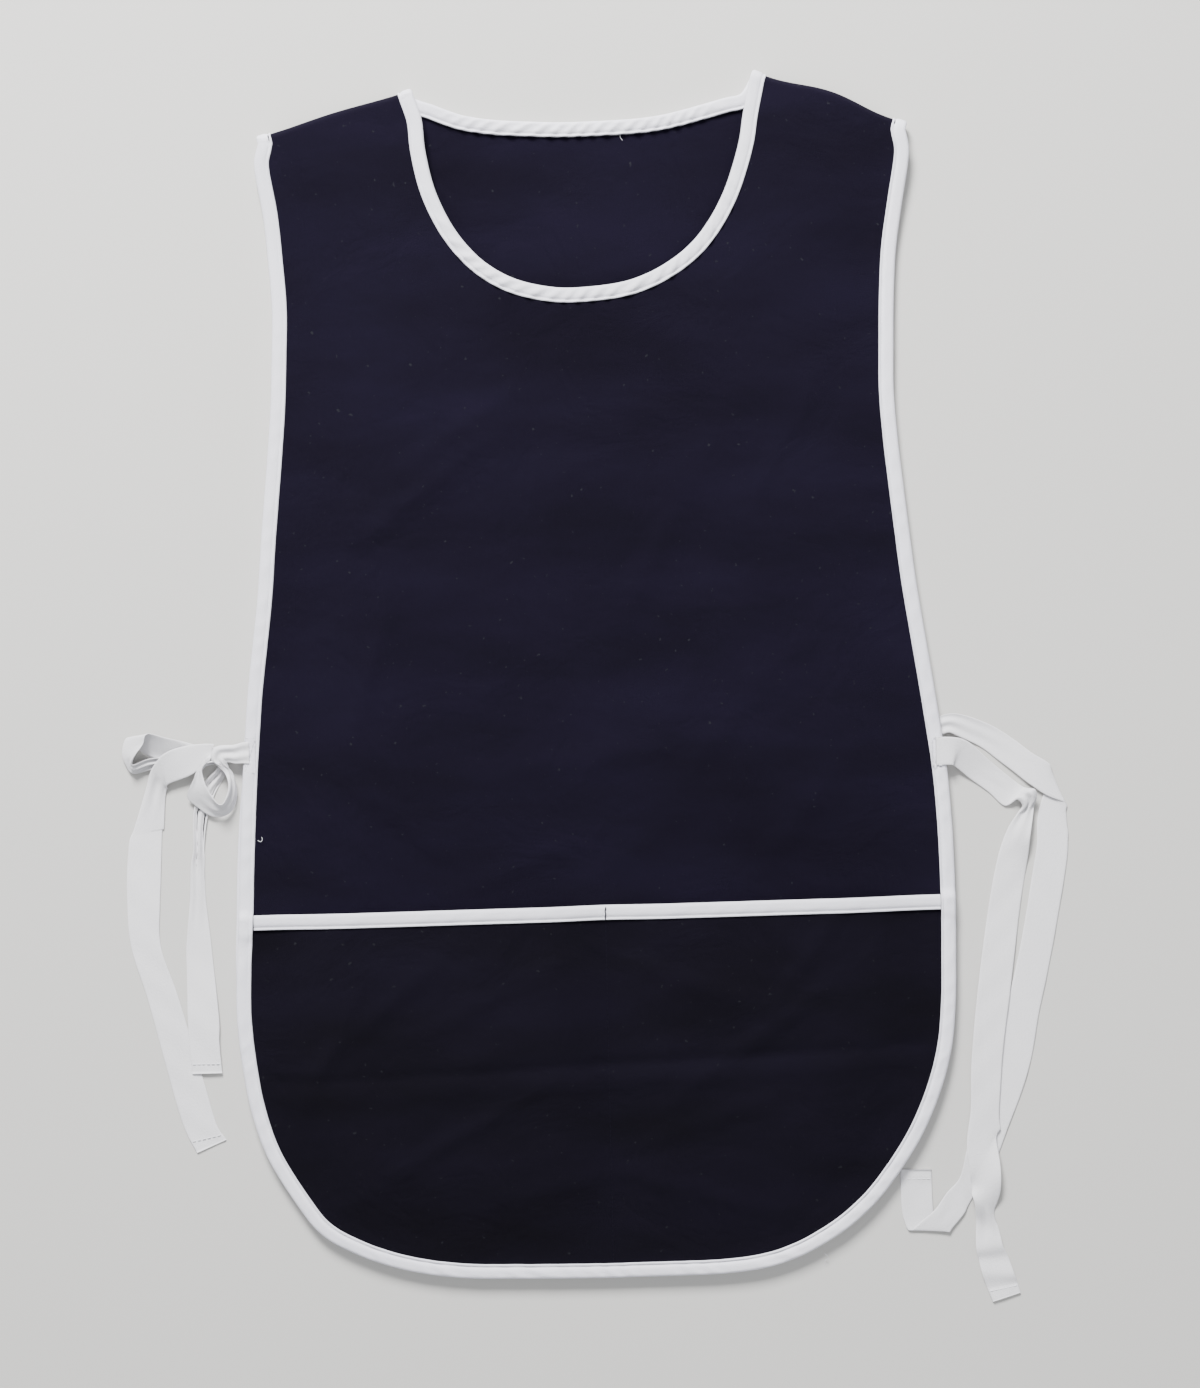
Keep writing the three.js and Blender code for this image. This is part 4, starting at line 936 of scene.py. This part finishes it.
LEFT_BACK_TIE = np.array([
    [0, 0.0055, 0, 1, 86, 0.6, 0],
    [-0.018, 0.003, 0.055, 0, 90, 0.55, 0],
    [-0.039, 0, 0.055, 0, 90, 0.5, 0],
    [-0.061, 0, 0.075, 0, 92, 0.55, 8],
    [-0.092, 0.0055, 0.14, 0, 88, 0.72, 14],
    [-0.129, 0.0115, 0.305, 0, 82, 1, 31],
    [-0.151, 0.023, 0.34, 0, 52, 0.95, 40],
    [-0.168, 0.034, 0.355, 0, 8, 0.95, 42],
    [-0.175, 0.016, 0.34, 0, 14, 1, 38],
    [-0.179, -0.001, 0.33, 0, 31, 0.8, 47],
    [-0.176, -0.0175, 0.245, 0, 80, 0.5, 59],
    [-0.147, -0.0095, 0.155, 0, 105, 0.4, 35],
    [-0.1085, -0.0085, 0.155, 0, 95, 0.4, 8],
    [-0.069, -0.006, 0.185, 0, 90, 0.45, 0],
    [-0.051, -0.0015, 0.185, 0, 88, 0.5, 0],
    [-0.0465, 0, 0.22, 0, 85, 0.55, 0],
    [-0.051, 0.0005, 0.255, 0, 80, 0.6, 0],
    [-0.057, 0.001, 0.255, 0, 66, 0.8, 0],
    [-0.0895, -0.007, 0.28, 0, 97, 0.96, 3],
    [-0.121, -0.018, 0.3, 0, 91, 1.03, 12],
    [-0.131, -0.03, 0.24, 0, 113, 0.9, 14],
    [-0.141, -0.052, 0.09, 0, 160, 0.65, 5],
    [-0.154, -0.112, 0.01, 0, 180, 0.95, 0],
    [-0.161, -0.135, 0, 0, 203, 1.18, 0],
    [-0.166, -0.24, 0, 0, 180, 1.04, 0],
    [-0.163, -0.3045, 0, 0, 180, 0.95, 0],
    [-0.1395, -0.381, 0, 0, 188, 0.96, 0],
    [-0.121, -0.45, 0, 0, 189, 1, 0],
    [-0.102, -0.522, 0, 0, 189, 1.04, 0],
    [-0.084, -0.588, 0, 0, 180, 1.06, 0],
    [-0.066, -0.623, 0, 0, 203, 1.02, 0],
])
LEFT_FRONT_TIE = np.array([
    [0.0105, 0.004, 0, 1, 90, 0.7, 0],
    [-0.001, 0.004, 0, 1, 90, 0.66, 0],
    [-0.012, 0.0025, 0.015, 1, 90, 0.6, 0],
    [-0.023, 0.0035, 0.415, 0, 90, 0.55, 0],
    [-0.035, 0.0015, 0.425, 0, 133, 0.6, 0],
    [-0.037, -0.0095, 0.415, 0, 166, 0.52, 0],
    [-0.023, -0.026, 0.345, 0, 157, 0.35, 45],
    [-0.018, -0.041, 0.32, 0, 158, 0.55, 70],
    [-0.018, -0.061, 0.33, 0, 160, 0.6, 63],
    [-0.0275, -0.0815, 0.33, 0, 139, 0.63, 57],
    [-0.045, -0.084, 0.335, 0, 76, 0.7, 42],
    [-0.0625, -0.07, 0.335, 0, 49, 0.8, 34],
    [-0.076, -0.0515, 0.35, 0, 42, 0.88, 24],
    [-0.072, -0.029, 0.415, 0, 50, 0.56, 12],
    [-0.0585, -0.009, 0.355, 0, 40, 0.35, 8],
    [-0.047, -0.002, 0.34, 0, 70, 0.33, 0],
    [-0.034, -0.004, 0.325, 0, 80, 0.33, 0],
    [-0.028, -0.006, 0.225, 0, 80, 0.33, 0],
    [-0.0325, -0.012, 0.17, 0, 85, 0.33, 0],
    [-0.039, -0.028, 0.1, 0, 140, 0.36, 0],
    [-0.0475, -0.038, 0.02, 0, 160, 0.45, 0],
    [-0.061, -0.058, 0.005, 0, 170, 0.53, 0],
    [-0.0715, -0.095, 0.005, 0, 175, 0.46, 0],
    [-0.0755, -0.147, 0.03, 0, 184, 0.35, 0],
    [-0.0785, -0.177, 0.005, 0, 218, 0.6, 0],
    [-0.08, -0.23, 0.005, 0, 218, 0.67, 0],
    [-0.08, -0.289, 0.005, 0, 208, 0.86, 0],
    [-0.078, -0.337, 0.005, 0, 193, 0.88, 0],
    [-0.074, -0.42, 0.07, 0, 180, 1, 0],
    [-0.0735, -0.4575, 0.07, 0, 180, 0.97, 0],
    [-0.07, -0.506, 0.07, 0, 180, 0.96, 0],
])


def tape_middle(table, root):
    """Middle line of a tape, the half-width vector across it, and the length run, from its smoothed rows."""
    x, y, rise, perch, across, span, tilt = curve_through(table).T
    low = TAPE / 2
    height = low + rise * TIE_WIDTH + perch * (root[2] - low)
    point = np.stack([root[0] + x * TIE_LENGTH, root[1] + y * TIE_LENGTH, height], axis=1)
    turn, slope = np.radians(across), np.radians(tilt)
    way = np.stack([np.cos(turn) * np.cos(slope), np.sin(turn) * np.cos(slope), np.sin(slope)], axis=1)
    return point, way * (span * TIE_WIDTH / 2)[:, None], running(point)


def tape_piece(name, table, root, material):
    """A tape as a closed band: its section is a flat strip with rounded edges, thicker over its end's turned
    hem, with a shallow sway across it, and small ridges where it is drawn in to less than its width."""
    point, half, run = tape_middle(table, root)
    along = np.gradient(point, axis=0)
    off = unit(smoothed(unit(np.cross(along, half)), 2, False))
    place = np.concatenate([[-1, -0.97], np.linspace(-0.9, 0.9, 19), [0.97, 1]])
    thick = np.interp(np.abs(place), [0, 0.85, 0.92, 0.97, 1], [0.9, 0.9, 1, 0.7, 0.25]) * TAPE / 2
    left = run[-1] - run
    hem = 1 + 0.9 * (left < HEM_LENGTH) * np.clip((HEM_LENGTH - left) / (0.5 * MM), 0, 1)
    sway = 0.12 * MM * np.sin(run[:, None] * 210 + place * 2.5) * ease(run[:, None] / 0.03)
    drawn = np.clip(0.85 - np.linalg.norm(half, axis=1) / (TIE_WIDTH / 2), 0, 0.6)[:, None]
    sway = sway + GATHER * drawn * np.sin(place * 6 + 1.2 * np.sin(run[:, None] * 70))
    upper = thick * hem[:, None] + sway
    lower = -thick + sway
    level = np.concatenate([upper, lower[:, ::-1]], axis=1)
    places = np.concatenate([place, place[::-1]])
    points = point[:, None] + half[:, None] * places[None, :, None] + off[:, None] * level[..., None]
    rows, columns = level.shape
    faces = closed_ends(quads(np.arange(rows * columns).reshape(rows, columns), False, True), rows, columns)
    across = places * TIE_WIDTH / 2 + np.zeros_like(level)
    uv = np.dstack([np.broadcast_to(run[:, None], level.shape), across])
    points = points.reshape(-1, 3)
    points[:, 2] = np.maximum(points[:, 2], 2 * TABLE_GAP)
    return mesh_piece(name, points, faces, uv.reshape(-1, 2), material)


TAPE_WHITE = cloth_material("white cotton tape", (0.72, 0.71, 0.73), (0.82, 0.81, 0.83), (0.8, 0.8, 0.82),
                            1100, 0.3, 0.25, 0.0006, 0.9, 0.08)


def tie_root(name, up, inside, height):
    """Where a tie is sewn on: a point of the side edge at a share of half the length, moved in."""
    line = side_line(name)
    y = up * HALF_LENGTH
    return np.array([np.interp(-y, -line[:, 1], line[:, 0]) - SIGN[name] * inside, y, height])


OVER_EDGE = 8.3 * MM
BESIDE = -0.45 * MM
TIES = {
    "left_back_tie": (LEFT_BACK_TIE, tie_root("left", -0.1126, BESIDE, BACK_EDGE)),
    "left_front_tie": (LEFT_FRONT_TIE, tie_root("left", -0.1126, BESIDE, OVER_EDGE)),
    "right_back_tie": (RIGHT_BACK_TIE, tie_root("right", -0.0892, BESIDE, BACK_EDGE)),
    "right_front_tie": (RIGHT_FRONT_TIE, tie_root("right", -0.1315, 6 * MM, OVER_EDGE)),
}
for node, (table, root) in TIES.items():
    tape = tape_piece(node + "_tape", table, root, TAPE_WHITE)
    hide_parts(node)
    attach(tape, "root")

# The stitching: polyester thread, white through the bindings and tapes and navy through the pocket's middle
# seam. Each stitch is a short plump bead of thread lying a little sunk in the cloth.
STITCH_LENGTH = 2.3 * MM
STITCH_PITCH = 3.0 * MM
THREAD = 0.5 * MM
STRANDS_ROUND = 6
RING_ENDS = np.array([[0, 1, 2, 3], [0, 3, 4, 5]])
RING_ANGLE = np.arange(STRANDS_ROUND) / STRANDS_ROUND * 2 * math.pi


def stitches(name, lines, material):
    """Rows of stitches along lines of (path, up): each stitch is a six-sided bead, tapered at both ends,
    placed at even steps of the run and laid along it."""
    ring_at = np.array([-0.5, -0.3, 0.3, 0.5])
    ring_size = np.array([0.35, 1.0, 1.0, 0.35])
    bead_points = len(ring_at) * STRANDS_ROUND
    all_points, all_faces, all_uv, count = [], [], [], 0
    bead = quads(np.arange(bead_points).reshape(-1, STRANDS_ROUND), False, True)
    bead = np.vstack([bead, RING_ENDS[:, ::-1], RING_ENDS + bead_points - STRANDS_ROUND])
    for path, up in lines:
        run = running(path)
        steps = max(1, int(run[-1] / STITCH_PITCH))
        at = (np.arange(steps) + 0.5) * run[-1] / steps
        place = at_run(path, run, at)
        along = unit(at_run(path, run, at + 0.3 * MM) - at_run(path, run, at - 0.3 * MM))
        rise = at_run(up, run, at)
        side = unit(np.cross(rise, along))
        round_a = np.cos(RING_ANGLE)[None, :] * ring_size[:, None] * THREAD / 2
        round_b = np.sin(RING_ANGLE)[None, :] * ring_size[:, None] * THREAD / 2
        points = (place[:, None, None] + along[:, None, None] * (ring_at * STITCH_LENGTH)[None, :, None, None]
                  + side[:, None, None] * round_a[None, ..., None]
                  + rise[:, None, None] * round_b[None, ..., None])
        all_points.append(points.reshape(-1, 3))
        all_faces.append((bead[None] + bead_points * np.arange(steps)[:, None, None]).reshape(-1, 4) + count)
        all_uv.append(np.zeros((steps * bead_points, 2)) + at.repeat(bead_points)[:, None])
        count += steps * bead_points
    piece = mesh_piece(name, np.vstack(all_points), np.vstack(all_faces), np.vstack(all_uv), material)
    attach(piece, "root")
    return piece


def thread_material(name, colour):
    """Spun thread: one dye, hardly any gloss."""
    material, shader = plain_material(name, colour, 0.7)
    shader.inputs["Specular IOR Level"].default_value = 0.1
    return material


def band_seam(path, up, inward, lift, depth):
    """The line of stitches on a band's upper leaf: its path moved into the cloth and up to the leaf's dip."""
    high = BINDING_HALF * 0.34 + lift
    return path + inward * depth + up * high[:, None], up


WHITE_THREAD = thread_material("white thread", (0.74, 0.74, 0.77))
NAVY_THREAD = thread_material("navy thread", (0.004, 0.003, 0.008))
SEAM_DEPTH = BINDING_WIDTH * 0.82
white_lines = [band_seam(neck_path, neck_up, neck_inward, np.zeros(len(neck_run)), SEAM_DEPTH),
               band_seam(edge_path, edge_up, edge_inward, edge_lift, SEAM_DEPTH),
               band_seam(mouth_path, mouth_up, mouth_inward, np.zeros(len(mouth_run)), SEAM_DEPTH)]


def stitched_box(corner_a, corner_b, high):
    """A rectangle of stitches between two opposite corners in plan, with one line from corner to corner."""
    (x0, y0), (x1, y1) = corner_a, corner_b
    plan = np.array([[x0, y0], [x1, y0], [x1, y1], [x0, y1], [x0, y0], [x1, y1]])
    return [(np.column_stack([plan[side:side + 2], [high, high]]), straight_up(2)) for side in range(5)]


LEAF_TOP = FRONT_EDGE + BINDING_HALF + 0.15 * MM
left_x, left_y = TIES["left_front_tie"][1][:2]
right_x, right_y = TIES["right_front_tie"][1][:2]
white_lines += stitched_box((left_x + 1.5 * MM, left_y - 11 * MM), (left_x + 8 * MM, left_y + 11 * MM),
                            LEAF_TOP)
white_lines += stitched_box((right_x - 2.5 * MM, right_y - 9 * MM), (right_x + 4.5 * MM, right_y + 9 * MM),
                            OVER_EDGE + TAPE / 2)
for table, root in TIES.values():
    point, half, run = tape_middle(table, root)
    at = run[-1] - HEM_LENGTH + 1 * MM
    row = np.linspace(-0.94, 0.94, 9)[:, None]
    hem_row = at_run(point, run, at) + at_run(half, run, at) * row + np.array([0, 0, TAPE * 0.95])
    white_lines.append((hem_row, straight_up(len(row))))
white_seams = stitches("white_stitching", white_lines, WHITE_THREAD)

SEAM_POINTS = 120
seam_y = np.linspace(MOUTH - 1 * MM, -HALF_LENGTH + 11 * MM, SEAM_POINTS)
seam_plan = np.stack([np.full(SEAM_POINTS, SEAM_SHIFT), seam_y], axis=1)
crossing = seam_y > MOUTH - BINDING_WIDTH - 0.5 * MM
seam_high = pocket_height(seam_plan) + CLOTH_THICKNESS / 2 + (BINDING_HALF - 0.1 * MM) * crossing
seam_path = np.column_stack([seam_plan, seam_high])
navy_lines = [(seam_path, straight_up(SEAM_POINTS))]
for aside in (-1, 0, 1):
    tack = seam_path[crossing] + np.array([aside * 0.28, aside * 0.9, 0.15]) * MM
    navy_lines.append((tack, straight_up(len(tack))))
navy_seam = stitches("navy_stitching", navy_lines, NAVY_THREAD)

# The loose thread ends: three short ends of the white sewing thread, left at the back of the neck, on the
# left side and under the hem's right corner. Each is one thin strand that bends this way and that.
STRAND_RADIUS = THREAD * 0.26
THREAD_ENDS = {
    "thread_end_neck": [[26, 352, 3.6], [28, 349, 2.4], [27, 346.5, 1.4], [28.5, 344, 1.0]],
    "thread_end_side": [[-213.5, -97, 7.6], [-211.5, -98, 8.2], [-210.5, -96.5, 7.6], [-211, -95, 7.2]],
    "thread_end_hem": [[141, -368, 6.0], [143.5, -371.5, 3.0], [141.5, -374, 0.8], [143, -377, 0.4]],
}


def strand(name, points, material):
    """A loose thread end: a thin round thread along a smooth curve through a few points in millimetres."""
    path = curve_through(np.array(points) * MM, 8)
    along = unit(np.gradient(path, axis=0))
    side = unit(np.cross(along, [0.0, 0.0, 1.0]))
    rise = np.cross(side, along)
    ring = (side[:, None] * np.cos(RING_ANGLE)[None, :, None]
            + rise[:, None] * np.sin(RING_ANGLE)[None, :, None])
    tube = path[:, None] + ring * STRAND_RADIUS
    faces = quads(np.arange(len(path) * STRANDS_ROUND).reshape(-1, STRANDS_ROUND), False, True)
    faces = np.vstack([faces, RING_ENDS[:, ::-1], RING_ENDS + (len(path) - 1) * STRANDS_ROUND])
    piece = mesh_piece(name, tube.reshape(-1, 3), faces, np.zeros((tube.size // 3, 2)), material)
    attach(piece, "root")


for name, points in THREAD_ENDS.items():
    strand(name, points, WHITE_THREAD)
